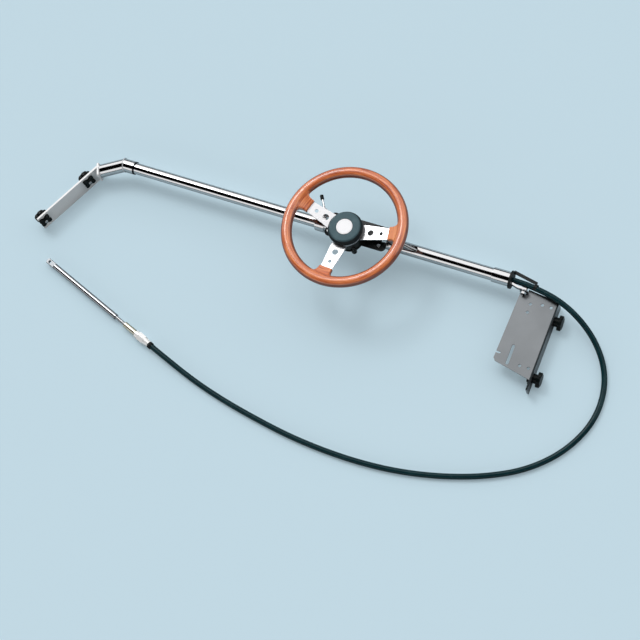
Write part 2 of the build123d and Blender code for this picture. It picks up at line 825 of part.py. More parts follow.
# Conduit from the helm block down through the slot and along the bore to the cap
nut_right_x = outlet_right_x + conduit_nut_length
conduit_drop = cord_height - bar_height
conduit_run = sqrt(4 * conduit_bend_radius * conduit_drop - conduit_drop**2)
conduit_turn = 2 * atan2(conduit_drop, conduit_run)
bend_half = conduit_bend_radius * tan(conduit_turn / 2)
conduit_corners = [
    at(conduit_left_x, drum_radius, cord_height),
    at(nut_right_x + bend_half, drum_radius, cord_height),
    at(nut_right_x + conduit_run - bend_half, drum_radius, bar_height),
    at(outer_right_x + cap_flange, drum_radius, bar_height),
]
with BuildPart() as conduit:
    with BuildLine() as conduit_line:
        FilletPolyline(*conduit_corners, radius=conduit_bend_radius - run_gap)
    with BuildSketch(across(conduit_left_x, drum_radius, cord_height)):
        Circle(cable_radius)
        Circle(core_diameter / 2 + run_gap, mode=Mode.SUBTRACT)
    sweep(path=conduit_line.line)
save(conduit.part, "conduit")

with BuildPart() as conduit_nut:
    with BuildSketch(across(outlet_right_x, drum_radius, cord_height)):
        RegularPolygon(conduit_nut_across / 2, 6, major_radius=False)
        Circle(cable_radius, mode=Mode.SUBTRACT)
    extrude(amount=conduit_nut_length)
save(conduit_nut.part, "conduit_nut")

# Shaft and drum that turn with the wheel
drum_floor = cord_height - drum_width / 2
shaft_floor = saddle_top + face_gap
with BuildPart() as steering_shaft:
    with BuildSketch(level(tube_top + face_gap)):
        Circle(shaft_tip_diameter / 2)
    extrude(amount=saddle_thickness)
    with BuildSketch(level(shaft_floor)):
        Circle(shaft_diameter / 2)
    extrude(amount=spoke_top + hub_nut_height + shaft_tip_beyond - shaft_floor)
save(steering_shaft.part, "steering_shaft")

with BuildPart() as cable_drum:
    with BuildSketch(level(drum_floor)):
        Circle(drum_radius + drum_flange)
        Circle(shaft_diameter / 2, mode=Mode.SUBTRACT)
    extrude(amount=drum_width)
    with BuildSketch(level(cord_height - core_diameter / 2)):
        Circle(drum_radius + 2 * drum_flange)
        Circle(drum_radius - core_diameter / 2, mode=Mode.SUBTRACT)
    extrude(amount=core_diameter, mode=Mode.SUBTRACT)
save(cable_drum.part, "cable_drum")

hub_screw_depth = boss_flange - shaft_tip_beyond
with BuildPart() as hub_boss:
    with BuildSketch(level(boss_floor)):
        Circle(boss_bottom_radius)
    with BuildSketch(level(spoke_floor - boss_flange)):
        Circle(boss_top_radius)
    loft()
    with BuildSketch(level(spoke_floor - boss_flange)):
        Circle(boss_top_radius)
    extrude(amount=boss_flange)
    with BuildSketch(level(boss_floor)):
        Circle(shaft_diameter / 2)
    extrude(amount=spoke_floor - boss_floor, mode=Mode.SUBTRACT)
    with BuildSketch(level(spoke_floor)):
        with PolarLocations(hub_screw_pcd / 2, hub_screw_count):
            Circle(hub_screw_diameter / 2)
    extrude(amount=-hub_screw_depth, mode=Mode.SUBTRACT)
save(hub_boss.part, "hub_boss")


def spoke_plane(angle):
    """Give the sloping plane of one spoke's underside, with its x pointing outward."""
    turn = radians(angle)
    rise = asin(spoke_rise / (spoke_end_radius - spoke_root_radius))
    root = at(spoke_root_radius * cos(turn), spoke_root_radius * sin(turn), spoke_floor)
    outward = Vector(cos(turn) * cos(rise), sin(turn) * cos(rise), sin(rise))
    sideways = Vector(-sin(turn), cos(turn), 0)
    return Plane(origin=root, x_dir=outward, z_dir=outward.cross(sideways))


spoke_slope = cos(asin(spoke_rise / (spoke_end_radius - spoke_root_radius)))
spoke_run = (spoke_end_radius - spoke_root_radius) / spoke_slope
spoke_tip = spoke_run + spoke_tuck
spoke_outline = [
    (0, -spoke_root_width / 2),
    (spoke_run, -spoke_end_width / 2),
    (spoke_tip, -spoke_end_width / 2),
    (spoke_tip, spoke_end_width / 2),
    (spoke_run, spoke_end_width / 2),
    (0, spoke_root_width / 2),
]
with BuildPart() as spoke_plate:
    with BuildSketch(level(spoke_floor)):
        Circle(spoke_hub_radius)
    extrude(amount=spoke_thickness)
    for angle in spoke_angles:
        with BuildSketch(spoke_plane(angle)):
            with BuildLine():
                Polyline(*spoke_outline, close=True)
            make_face()
            with Locations(((big_hole_radius - spoke_root_radius) / spoke_slope, 0)):
                Circle(big_hole_diameter / 2, mode=Mode.SUBTRACT)
            with Locations(((small_hole_radius - spoke_root_radius) / spoke_slope, 0)):
                Circle(small_hole_diameter / 2, mode=Mode.SUBTRACT)
        extrude(amount=spoke_thickness)
    with BuildSketch(level(spoke_floor)):
        Circle(shaft_diameter / 2)
        with PolarLocations(hub_screw_pcd / 2, hub_screw_count):
            Circle(hub_screw_diameter / 2)
    extrude(amount=spoke_thickness, mode=Mode.SUBTRACT)
save(spoke_plate.part, "spoke_plate")

# Wooden rim with a lug round the end of each spoke, seen from above and from the side
wheel_axis = Axis(at(0, 0, 0), (0, 0, 1))
lug_half = spoke_end_width / 2 + lug_side
lug_wide = lug_half + lug_flare
rim_inner = rim_radius - rim_section_width / 2
flare_finish = rim_inner + lug_bite
flare_start = flare_finish - lug_flare
flare_mid_x = flare_start + lug_flare * sin(radians(45))
flare_mid_y = lug_wide - lug_flare * cos(radians(45))
lug_finish = rim_radius
lug_profile = [
    (spoke_end_radius, spoke_floor + spoke_rise - lug_below),
    (flare_finish + lug_bite, rim_height - rim_section_height / 2 + face_gap),
    (lug_finish, rim_height),
    (flare_finish, rim_height + lug_crown),
    (rim_inner + lug_shoulder, rim_height + lug_crown),
    (spoke_end_radius, spoke_top + spoke_rise + lug_above),
]


def rim_lug(angle):
    """Make the wooden lug round the end of one spoke, flaring into the rim."""
    turn = radians(angle)
    outward = (cos(turn), sin(turn), 0)
    with BuildPart() as lug:
        with BuildSketch(Plane(origin=at(0, 0, spoke_floor), x_dir=outward, z_dir=(0, 0, 1))):
            with BuildLine():
                Polyline(
                    (flare_start, -lug_half),
                    (spoke_end_radius, -lug_half),
                    (spoke_end_radius, lug_half),
                    (flare_start, lug_half),
                )
                ThreePointArc(
                    (flare_start, lug_half),
                    (flare_mid_x, flare_mid_y),
                    (flare_finish, lug_wide),
                )
                Polyline(
                    (flare_finish, lug_wide),
                    (lug_finish, lug_wide),
                    (lug_finish, -lug_wide),
                    (flare_finish, -lug_wide),
                )
                ThreePointArc(
                    (flare_finish, -lug_wide),
                    (flare_mid_x, -flare_mid_y),
                    (flare_start, -lug_half),
                )
            make_face()
        extrude(amount=2 * rim_section_height)
        with BuildSketch(Plane(origin=at(0, 0, 0), x_dir=(1, 0, 0), z_dir=(0, -1, 0))):
            with BuildLine():
                Polyline(*lug_profile, close=True)
            make_face()
        revolve(axis=wheel_axis, mode=Mode.INTERSECT)
    return lug.part


with BuildPart() as wheel_rim:
    with BuildSketch(Plane(origin=at(0, 0, rim_height), x_dir=(1, 0, 0), z_dir=(0, -1, 0))):
        with Locations((rim_radius, 0)):
            Ellipse(rim_section_width / 2, rim_section_height / 2)
    revolve(axis=wheel_axis)
    for angle in spoke_angles:
        add(rim_lug(angle))
    add(spoke_plate.part, mode=Mode.SUBTRACT)
save(wheel_rim.part, "wheel_rim")

# Middle of the wheel
with BuildPart() as hub_nut:
    with BuildSketch(level(spoke_top)):
        RegularPolygon(hub_nut_across / 2, 6, major_radius=False)
        Circle(shaft_diameter / 2, mode=Mode.SUBTRACT)
    extrude(amount=hub_nut_height)
save(hub_nut.part, "hub_nut")

with BuildPart() as hub_screws:
    with BuildSketch(level(spoke_floor - hub_screw_depth)):
        with PolarLocations(hub_screw_pcd / 2, hub_screw_count):
            Circle(hub_screw_diameter / 2)
    extrude(amount=hub_screw_depth + spoke_thickness)
    with BuildSketch(level(spoke_top)):
        with PolarLocations(hub_screw_pcd / 2, hub_screw_count):
            Circle(hub_screw_head / 2)
    extrude(amount=hub_screw_head_height)
save(hub_screws.part, "hub_screws")

cap_top = rim_height
cap_wide_floor = spoke_top + cap_wide_height
cap_wide_top = cap_wide_floor + cap_wide_band
cap_room = cap_top - badge_recess_depth - hub_cap_wall
with BuildPart() as hub_cap:
    with BuildSketch(level(spoke_top)):
        Circle(cap_base_diameter / 2)
    with BuildSketch(level(cap_wide_floor)):
        Circle(cap_wide_diameter / 2)
    loft()
    with BuildSketch(level(cap_wide_floor)):
        Circle(cap_wide_diameter / 2)
    extrude(amount=cap_wide_band)
    with BuildSketch(level(cap_wide_top)):
        Circle(cap_wide_diameter / 2)
    with BuildSketch(level(cap_top)):
        Circle(cap_face_diameter / 2)
    loft()
    fillet(hub_cap.edges().group_by(Axis.Z)[-1], radius=cap_face_round)
    with BuildSketch(level(spoke_top)):
        Circle(cap_base_diameter / 2 - hub_cap_wall)
    with BuildSketch(level(cap_room)):
        Circle(cap_face_diameter / 2 - 2 * hub_cap_wall)
    loft(mode=Mode.SUBTRACT)
    with BuildSketch(level(cap_top)):
        Circle(badge_recess_diameter / 2)
    extrude(amount=-badge_recess_depth, mode=Mode.SUBTRACT)
save(hub_cap.part, "hub_cap")

with BuildPart() as hub_disc:
    with BuildSketch(level(cap_top - badge_recess_depth)):
        Circle(badge_diameter / 2)
    extrude(amount=badge_thickness)
    fillet(hub_disc.edges().group_by(Axis.Z)[-1], radius=badge_round)
save(hub_disc.part, "hub_disc")


def bend_radii(points):
    """Give each inner point's arc radius, from its shorter run and its turn."""
    radii = []
    for before, here, after in zip(points, points[1:], points[2:]):
        way_in = here - before
        way_out = after - here
        half_turn = radians(way_in.get_angle(way_out) / 2)
        shorter = min(way_in.length, way_out.length)
        radii.append(bend_share * shorter / tan(half_turn))
    return radii


# Steering cable, from the cap ring over the floor to its fittings
route = [at(*point) for point in cable_points]
route_radii = bend_radii(route)
print("route radii", [round(r) for r in route_radii])
with BuildPart() as steering_cable:
    with BuildLine() as cable_line:
        FilletPolyline(*route, radius=route_radii)
    with BuildSketch(Plane(origin=route[0], z_dir=route[1] - route[0])):
        Circle(cable_radius)
    sweep(path=cable_line.line)
save(steering_cable.part, "steering_cable")

# Strap from the cap ring to a loop round the cable: a ring, a level band and a loop
cable_path = cable_line.wire()
loop_place = cable_path.position_at(strap_loop_reach, position_mode=PositionMode.LENGTH)
loop_way = cable_path.tangent_at(strap_loop_reach, position_mode=PositionMode.LENGTH)
loop_middle = Plane(origin=loop_place, z_dir=loop_way)
loop_inner = cable_radius + soft_gap
loop_outer = loop_inner + strap_loop_wall
band_end = (
    loop_place.X - wheel_x,
    loop_place.Y - wheel_y + loop_outer + strap_width / 4,
)
band_start = (outer_right_x + cap_flange / 2, drum_radius + cap_od / 2)
with BuildPart() as cap_strap:
    with BuildSketch(level(bar_height - strap_thickness / 2)):
        with BuildLine():
            strap_run = Line(band_start, band_end)
        trace(strap_run, line_width=strap_width)
    extrude(amount=strap_thickness)
    with BuildSketch(loop_middle.offset(-strap_width / 2)):
        Circle(loop_outer)
    extrude(amount=strap_width)
    with BuildSketch(across(outer_right_x)):
        Circle(cap_od / 2 + strap_loop_wall)
    extrude(amount=cap_flange)
    with BuildSketch(loop_middle.offset(-2 * strap_width)):
        Circle(loop_inner)
    extrude(amount=4 * strap_width, mode=Mode.SUBTRACT)
    with BuildSketch(across(outer_right_x - cap_flange)):
        Circle(cap_od / 2)
    extrude(amount=2 * cap_flange, mode=Mode.SUBTRACT)
save(cap_strap.part, "cap_strap")

# Fittings in one line from the end of the cable
cable_end = route[-1]
ram_way = (route[-1] - route[-2]).normalized()


def along(distance):
    """Give a plane square to the ram axis at a distance from the end of the cable."""
    return Plane(
        origin=cable_end + ram_way * distance,
        x_dir=ram_way.cross(Vector(0, 0, 1)),
        z_dir=ram_way,
    )


with BuildPart() as cable_boot:
    with BuildSketch(along(0.0)):
        Circle(boot_radius - boot_taper)
    with BuildSketch(along(boot_length)):
        Circle(boot_radius)
    loft()
save(cable_boot.part, "cable_boot")

hex_start = nut_start + nut_cone_length
collar_start = hex_start + nut_hex_length
with BuildPart() as cable_nut:
    with BuildSketch(along(nut_start)):
        Circle(nut_cone_radius)
    with BuildSketch(along(hex_start)):
        Circle(nut_collar_radius)
    loft()
    with BuildSketch(along(hex_start)):
        RegularPolygon(nut_hex_across / 2, 6, major_radius=False, rotation=30)
    extrude(amount=nut_hex_length)
    with BuildSketch(along(collar_start)):
        Circle(nut_collar_radius)
    extrude(amount=nut_collar_length)
    with BuildSketch(along(nut_start)):
        Circle(support_radius + run_gap)
    extrude(amount=ram_end, mode=Mode.SUBTRACT)
save(cable_nut.part, "cable_nut")

with BuildPart() as spring_sleeve:
    with BuildSketch(along(spring_sleeve_start)):
        Circle(spring_sleeve_radius)
        Circle(support_radius, mode=Mode.SUBTRACT)
    extrude(amount=spring_sleeve_length)
save(spring_sleeve.part, "spring_sleeve")

with BuildPart() as support_tube:
    with BuildSketch(along(boot_length)):
        Circle(support_radius)
        Circle(support_bore_radius, mode=Mode.SUBTRACT)
    extrude(amount=support_end - boot_length)
save(support_tube.part, "support_tube")

ram_length = ram_end - ram_start
flat_side = ram_radius - ram_flat_thickness / 2
with BuildPart() as ram:
    with BuildSketch(along(ram_start)):
        Circle(ram_radius)
    extrude(amount=ram_length)
    fillet(ram.faces().sort_by(Axis(cable_end, ram_way))[-1].edges(), radius=ram_tip_round)
    with BuildSketch(along(ram_start)):
        Circle(support_radius + slide_gap)
    extrude(amount=ram_length - ram_flat_length - ram_bore_floor, mode=Mode.SUBTRACT)
    with BuildSketch(along(ram_end - ram_flat_length)):
        for side in (-1, 1):
            with Locations((0, side * (ram_flat_thickness / 2 + flat_side))):
                Rectangle(3 * ram_radius, 2 * flat_side)
    extrude(amount=ram_flat_length + ram_rest_gap, mode=Mode.SUBTRACT)
    eye_place = cable_end + ram_way * (ram_end - ram_eye_from_tip)
    with BuildSketch(Plane(origin=eye_place - Vector(0, 0, ram_radius))):
        Circle(ram_eye_radius)
    extrude(amount=2 * ram_radius, mode=Mode.SUBTRACT)
save(ram.part, "ram")
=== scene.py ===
"""Looks of a telescopic steering bar.

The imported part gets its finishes, and its free cable, wooden rim, welds, threads and ribs are
added. A floor, a room, two lamps and the camera stand round it. Lengths are in metres, in the
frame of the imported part: floor at z = 0, the bar along X and the wheel's axis along Z.
"""

import json
import logging
import math
from dataclasses import dataclass, field
from enum import Enum
from typing import Callable, Optional, Sequence, Union

import bmesh
import bpy
from mathutils import Matrix, Vector


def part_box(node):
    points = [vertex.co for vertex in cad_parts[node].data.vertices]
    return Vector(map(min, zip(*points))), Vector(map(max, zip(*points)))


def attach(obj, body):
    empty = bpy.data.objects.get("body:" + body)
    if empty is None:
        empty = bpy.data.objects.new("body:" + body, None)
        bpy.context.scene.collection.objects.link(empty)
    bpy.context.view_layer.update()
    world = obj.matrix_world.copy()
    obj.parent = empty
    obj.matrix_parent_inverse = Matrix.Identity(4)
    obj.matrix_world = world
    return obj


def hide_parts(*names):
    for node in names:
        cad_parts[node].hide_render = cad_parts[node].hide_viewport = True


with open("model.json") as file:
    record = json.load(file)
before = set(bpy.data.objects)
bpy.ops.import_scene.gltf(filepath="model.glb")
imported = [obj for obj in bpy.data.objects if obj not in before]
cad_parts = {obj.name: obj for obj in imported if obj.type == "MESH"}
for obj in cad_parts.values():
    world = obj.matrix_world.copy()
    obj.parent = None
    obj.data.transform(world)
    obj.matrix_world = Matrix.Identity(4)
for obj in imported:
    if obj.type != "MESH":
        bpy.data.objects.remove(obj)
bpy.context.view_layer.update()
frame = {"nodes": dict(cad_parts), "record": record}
LOG = logging.getLogger("steering_bar")

Point = tuple[float, float, float]
Colour = tuple[float, float, float]
Span = tuple[float, float]

UP = Vector((0.0, 0.0, 1.0))
ALONG_BAR = Vector((1.0, 0.0, 0.0))


# Shader tools


@dataclass(frozen=True)
class Sock:
    """An output of a shader node that takes part in arithmetic."""

    tree: "Tree"
    link: bpy.types.NodeSocket

    def _math(self, operation: str, *values: "Value") -> "Sock":
        """Add one Math node over the given values."""
        return self.tree.node("Math", {"operation": operation}, *values)

    def __add__(self, other: "Value") -> "Sock":
        """Give self + other."""
        return self._math("ADD", self, other)

    def __radd__(self, other: "Value") -> "Sock":
        """Give other + self."""
        return self._math("ADD", other, self)

    def __sub__(self, other: "Value") -> "Sock":
        """Give self - other."""
        return self._math("SUBTRACT", self, other)

    def __rsub__(self, other: "Value") -> "Sock":
        """Give other - self."""
        return self._math("SUBTRACT", other, self)

    def __mul__(self, other: "Value") -> "Sock":
        """Give self * other."""
        return self._math("MULTIPLY", self, other)

    def __rmul__(self, other: "Value") -> "Sock":
        """Give other * self."""
        return self._math("MULTIPLY", other, self)

    def __truediv__(self, other: "Value") -> "Sock":
        """Give self / other."""
        return self._math("DIVIDE", self, other)

    def __pow__(self, other: "Value") -> "Sock":
        """Give self to the power other."""
        return self._math("POWER", self, other)

    def turn_from(self, across: "Sock") -> "Sock":
        """Give the angle of the point (across, self), in radians."""
        return self._math("ARCTAN2", self, across)


Value = Union[Sock, float, Sequence[float]]


class Coordinates(Enum):
    """The outputs of a Texture Coordinate node that are used."""

    GENERATED = 0
    OBJECT = 3


class Tree:
    """A node tree and the methods that add nodes to it."""

    # Where a Mix node of colours has its factor and two colours, and its result
    MIX_INPUTS = (0, 6, 7)
    MIX_OUTPUT = 2

    def __init__(self, nodes: bpy.types.NodeTree) -> None:
        """Empty the tree and keep it.

        Args:
            nodes: The node tree of a material or of the world.
        """
        self.nodes = nodes
        nodes.nodes.clear()

    def node(
        self, kind: str, settings: dict, *values: Value, out: int = 0, **named: Value
    ) -> Sock:
        """Add one node.

        Args:
            kind: The node's type, without the ShaderNode prefix.
            settings: Its properties, and "stops" for a ramp, set before its sockets.
            *values: Values or links of its first sockets, in order.
            out: Which output to give back.
            **named: Values or links by socket name, with _ for a space.

        Returns:
            The chosen output.
        """
        made = self.nodes.nodes.new("ShaderNode" + kind)
        for key, value in settings.items():
            if key == "stops":
                self._set_stops(made.color_ramp, value)
            else:
                setattr(made, key, value)
        for socket, value in zip(made.inputs, values):
            self._feed(socket, value)
        for key, value in named.items():
            self._feed(made.inputs[key.replace("_", " ")], value)
        outputs = [socket for socket in made.outputs if socket.enabled]
        return Sock(self, outputs[out])

    def _feed(self, socket: bpy.types.NodeSocket, value: Value) -> None:
        """Link or set one input socket.

        Args:
            socket: The socket.
            value: A link to it, or its value. A colour comes without its alpha.
        """
        if isinstance(value, Sock):
            self.nodes.links.new(value.link, socket)
        elif socket.type == "RGBA" and len(value) == 3:
            socket.default_value = (*value, 1.0)
        else:
            socket.default_value = value

    @staticmethod
    def _set_stops(ramp: bpy.types.ColorRamp, stops: Sequence[tuple[float, Colour]]) -> None:
        """Write a ramp's stops.

        Args:
            ramp: The ramp, as new.
            stops: Each stop's place and colour.
        """
        ramp.elements.remove(ramp.elements[-1])
        for index, (place, colour) in enumerate(stops):
            element = ramp.elements.new(place) if index else ramp.elements[0]
            element.position = place
            element.color = (*colour, 1.0)

    def blend(self, amount: Value, low: Value, high: Value) -> Sock:
        """Mix two colours.

        Args:
            amount: From 0, all low, to 1, all high.
            low: The first colour.
            high: The second colour.

        Returns:
            The mixed colour.
        """
        mix = self.nodes.nodes.new("ShaderNodeMix")
        mix.data_type = "RGBA"
        for index, value in zip(self.MIX_INPUTS, (amount, low, high)):
            self._feed(mix.inputs[index], value)
        return Sock(self, mix.outputs[self.MIX_OUTPUT])

    def ramp(self, amount: Sock, *stops: tuple[float, Colour]) -> Sock:
        """Give the colour that a ramp has at an amount."""
        return self.node("ValToRGB", {"stops": stops}, amount)

    def fade(self, amount: Sock, low: float, high: float) -> Sock:
        """Give 0 below low, 1 above high and a smooth step between them."""
        settings = {"interpolation_type": "SMOOTHSTEP"}
        return self.node("MapRange", settings, Value=amount, From_Min=low, From_Max=high)

    def split(self, vector: Sock) -> tuple[Sock, Sock, Sock]:
        """Give a vector's three components."""
        outputs = self.node("SeparateXYZ", {}, vector).link.node.outputs
        return tuple(Sock(self, socket) for socket in outputs)

    def seen(self) -> Sock:
        """Give 1 where the camera sees the surface itself, and 0 in light and reflections."""
        paths = self.node("LightPath", {}).link.node
        return Sock(self, paths.outputs["Is Camera Ray"])


class Paint(Tree):
    """A material being built, with a principled shader at its end."""

    def __init__(self, name: str) -> None:
        """Start a material.

        Args:
            name: The material's name.
        """
        self.material = bpy.data.materials.new(name)
        self.material.use_nodes = True
        super().__init__(self.material.node_tree)
        self.shader = self.nodes.nodes.new("ShaderNodeBsdfPrincipled")
        output = self.nodes.nodes.new("ShaderNodeOutputMaterial")
        self.nodes.links.new(self.shader.outputs[0], output.inputs["Surface"])
        self.place = self.node("TexCoord", {}, out=Coordinates.OBJECT.value)

    def axes(self) -> tuple[Sock, Sock, Sock]:
        """Give the three coordinates of the piece's own frame."""
        return self.split(self.place)

    def noise(
        self,
        waves: Union[float, Point],
        detail: float = 3.0,
        rough: float = 0.5,
        place: Optional[Sock] = None,
        warp: float = 0.0,
    ) -> Sock:
        """Give fractal noise.

        Args:
            waves: Its frequency in waves per metre, or one for each axis.
            detail: Its number of octaves.
            rough: How strong the finer octaves are.
            place: The coordinates that it follows, if not the piece's own.
            warp: How much it is distorted.

        Returns:
            A value around 0.5.
        """
        scale = (waves,) * 3 if isinstance(waves, float) else waves
        return self.node(
            "TexNoise",
            {},
            Vector=self.node("Mapping", {}, place or self.place, Scale=scale),
            Scale=1.0,
            Detail=detail,
            Roughness=rough,
            Distortion=warp,
        )

    def bump(self, height: Sock, depth: float) -> Sock:
        """Give a normal bent by a height from 0 to 1, where 1 is a depth in metres."""
        return self.node("Bump", {}, Distance=depth, Height=height)

    def set(self, **values: Value) -> bpy.types.Material:
        """Set or link the shader's sockets.

        Args:
            **values: Values or links by socket name, with _ for a space.

        Returns:
            The material.
        """
        for key, value in values.items():
            self._feed(self.shader.inputs[key.replace("_", " ")], value)
        return self.material


def mixed(low: float, high: float, amount: Sock) -> Sock:
    """Give the value that lies an amount of the way from low to high."""
    return low + amount * (high - low)


def scaled(colour: Colour, share: float) -> Colour:
    """Give a colour with a share of its brightness."""
    return tuple(part * share for part in colour)


# Finishes


class Grain(Enum):
    """Which way a metal was drawn or brushed, as noise frequencies along X, Y and Z."""

    ALONG_BAR = (6.0, 900.0, 900.0)
    ACROSS_BAR = (900.0, 6.0, 900.0)
    EVEN = (700.0, 700.0, 700.0)


@dataclass(frozen=True)
class PaintedShadeEnd:
    """The end or edge of a piece with painted shade, darker than the rest.

    It starts where the piece's own coordinates, measured along one way, pass a value.
    """

    way: Point
    start: float
    colour: Colour = (0.02, 0.025, 0.027)
    soft: float = 0.0006

    def over(self, paint: Paint, shade: Sock) -> Sock:
        """Lay the painted shade of the end over a colour.

        Args:
            paint: The material's tree.
            shade: The colour of the rest.

        Returns:
            The colour of the whole piece.
        """
        x, y, z = paint.axes()
        place = x * self.way[0] + y * self.way[1] + z * self.way[2]
        past = paint.fade(place, self.start - self.soft, self.start)
        return paint.blend(past, shade, self.colour)


@dataclass(frozen=True)
class Steel:
    """Bare or plated metal, from mirror polished to brushed."""

    name: str
    colour: Colour
    smooth: float
    rough: float
    grain: Grain
    line_depth: float = 1e-6
    cloud: float = 0.06
    metallic: float = 1.0
    # Painted shade at one end or edge, where the piece has one
    end: Optional[PaintedShadeEnd] = None
    line_share: float = 0.7
    cloud_waves: float = 9.0
    spot_waves: float = 160.0
    spot_range: Span = (0.62, 0.7)
    spot_cover: float = 0.35
    spot_shade: float = 0.7
    spot_rough: float = 0.08

    def make(self) -> bpy.types.Material:
        """Build the material.

        Returns:
            Metal with drawn lines, faint clouds of wiped polish, small wear spots and, where it
            has one, painted shade at one end or edge.
        """
        paint = Paint(self.name)
        lines = paint.noise(self.grain.value, detail=4.0, rough=0.6)
        clouds = paint.noise(self.cloud_waves)
        grit = paint.noise(self.spot_waves, detail=5.0, rough=0.65)
        spots = paint.fade(grit, *self.spot_range)
        shade = paint.blend(clouds, scaled(self.colour, 1.0 - self.cloud), self.colour)
        worn = scaled(self.colour, self.spot_shade)
        shade = paint.blend(spots * self.spot_cover, shade, worn)
        # Painted shade at one end or edge
        if self.end:
            shade = self.end.over(paint, shade)
        wiped = lines * self.line_share + clouds * (1.0 - self.line_share)
        return paint.set(
            Base_Color=shade,
            Metallic=self.metallic,
            Roughness=mixed(self.smooth, self.rough, wiped) + spots * self.spot_rough,
            Normal=paint.bump(lines, self.line_depth),
        )


@dataclass(frozen=True)
class Moulded:
    """The skin of dark pieces: plastic, rubber and enamel."""

    name: str
    colour: Colour
    worn: Colour
    rough: float
    skin_waves: float
    skin_depth: float
    shine: float = 0.22
    shadowed_below: Optional[float] = None
    shadow: float = 0.12
    shadow_reach: Span = (-0.0015, 0.0005)
    handled_waves: float = 38.0
    handled_range: Span = (0.4, 0.75)
    handled_rough: float = 0.2
    dust_waves: float = 420.0
    dust_range: Span = (0.66, 0.74)
    dust_cover: float = 0.25
    dust_grey: float = 0.3
    dust_tone: float = 0.4
    dust_rough: float = 0.1

    def make(self) -> bpy.types.Material:
        """Build the material.

        Returns:
            A dark surface with a fine skin, handling marks and a little dust. Below one height
            it can be darker, as in a crevice.
        """
        paint = Paint(self.name)
        skin = paint.noise(self.skin_waves, rough=0.6)
        handled = paint.noise(self.handled_waves, detail=4.0)
        dust = paint.fade(paint.noise(self.dust_waves, detail=2.0), *self.dust_range)
        dusty = tuple(self.dust_grey + part * self.dust_tone for part in self.worn)
        shade = paint.blend(paint.fade(handled, *self.handled_range), self.colour, self.worn)
        shade = paint.blend(dust * self.dust_cover, shade, dusty)
        if self.shadowed_below is not None:
            low, high = (self.shadowed_below + reach for reach in self.shadow_reach)
            above = paint.fade(paint.axes()[2], low, high)
            shade = paint.blend(1.0 - above, shade, scaled(self.colour, self.shadow))
        marks = (handled - 0.5) * self.handled_rough + dust * self.dust_rough
        return paint.set(
            Base_Color=shade,
            Roughness=self.rough + marks,
            Specular_IOR_Level=self.shine,
            Normal=paint.bump(skin, self.skin_depth),
        )


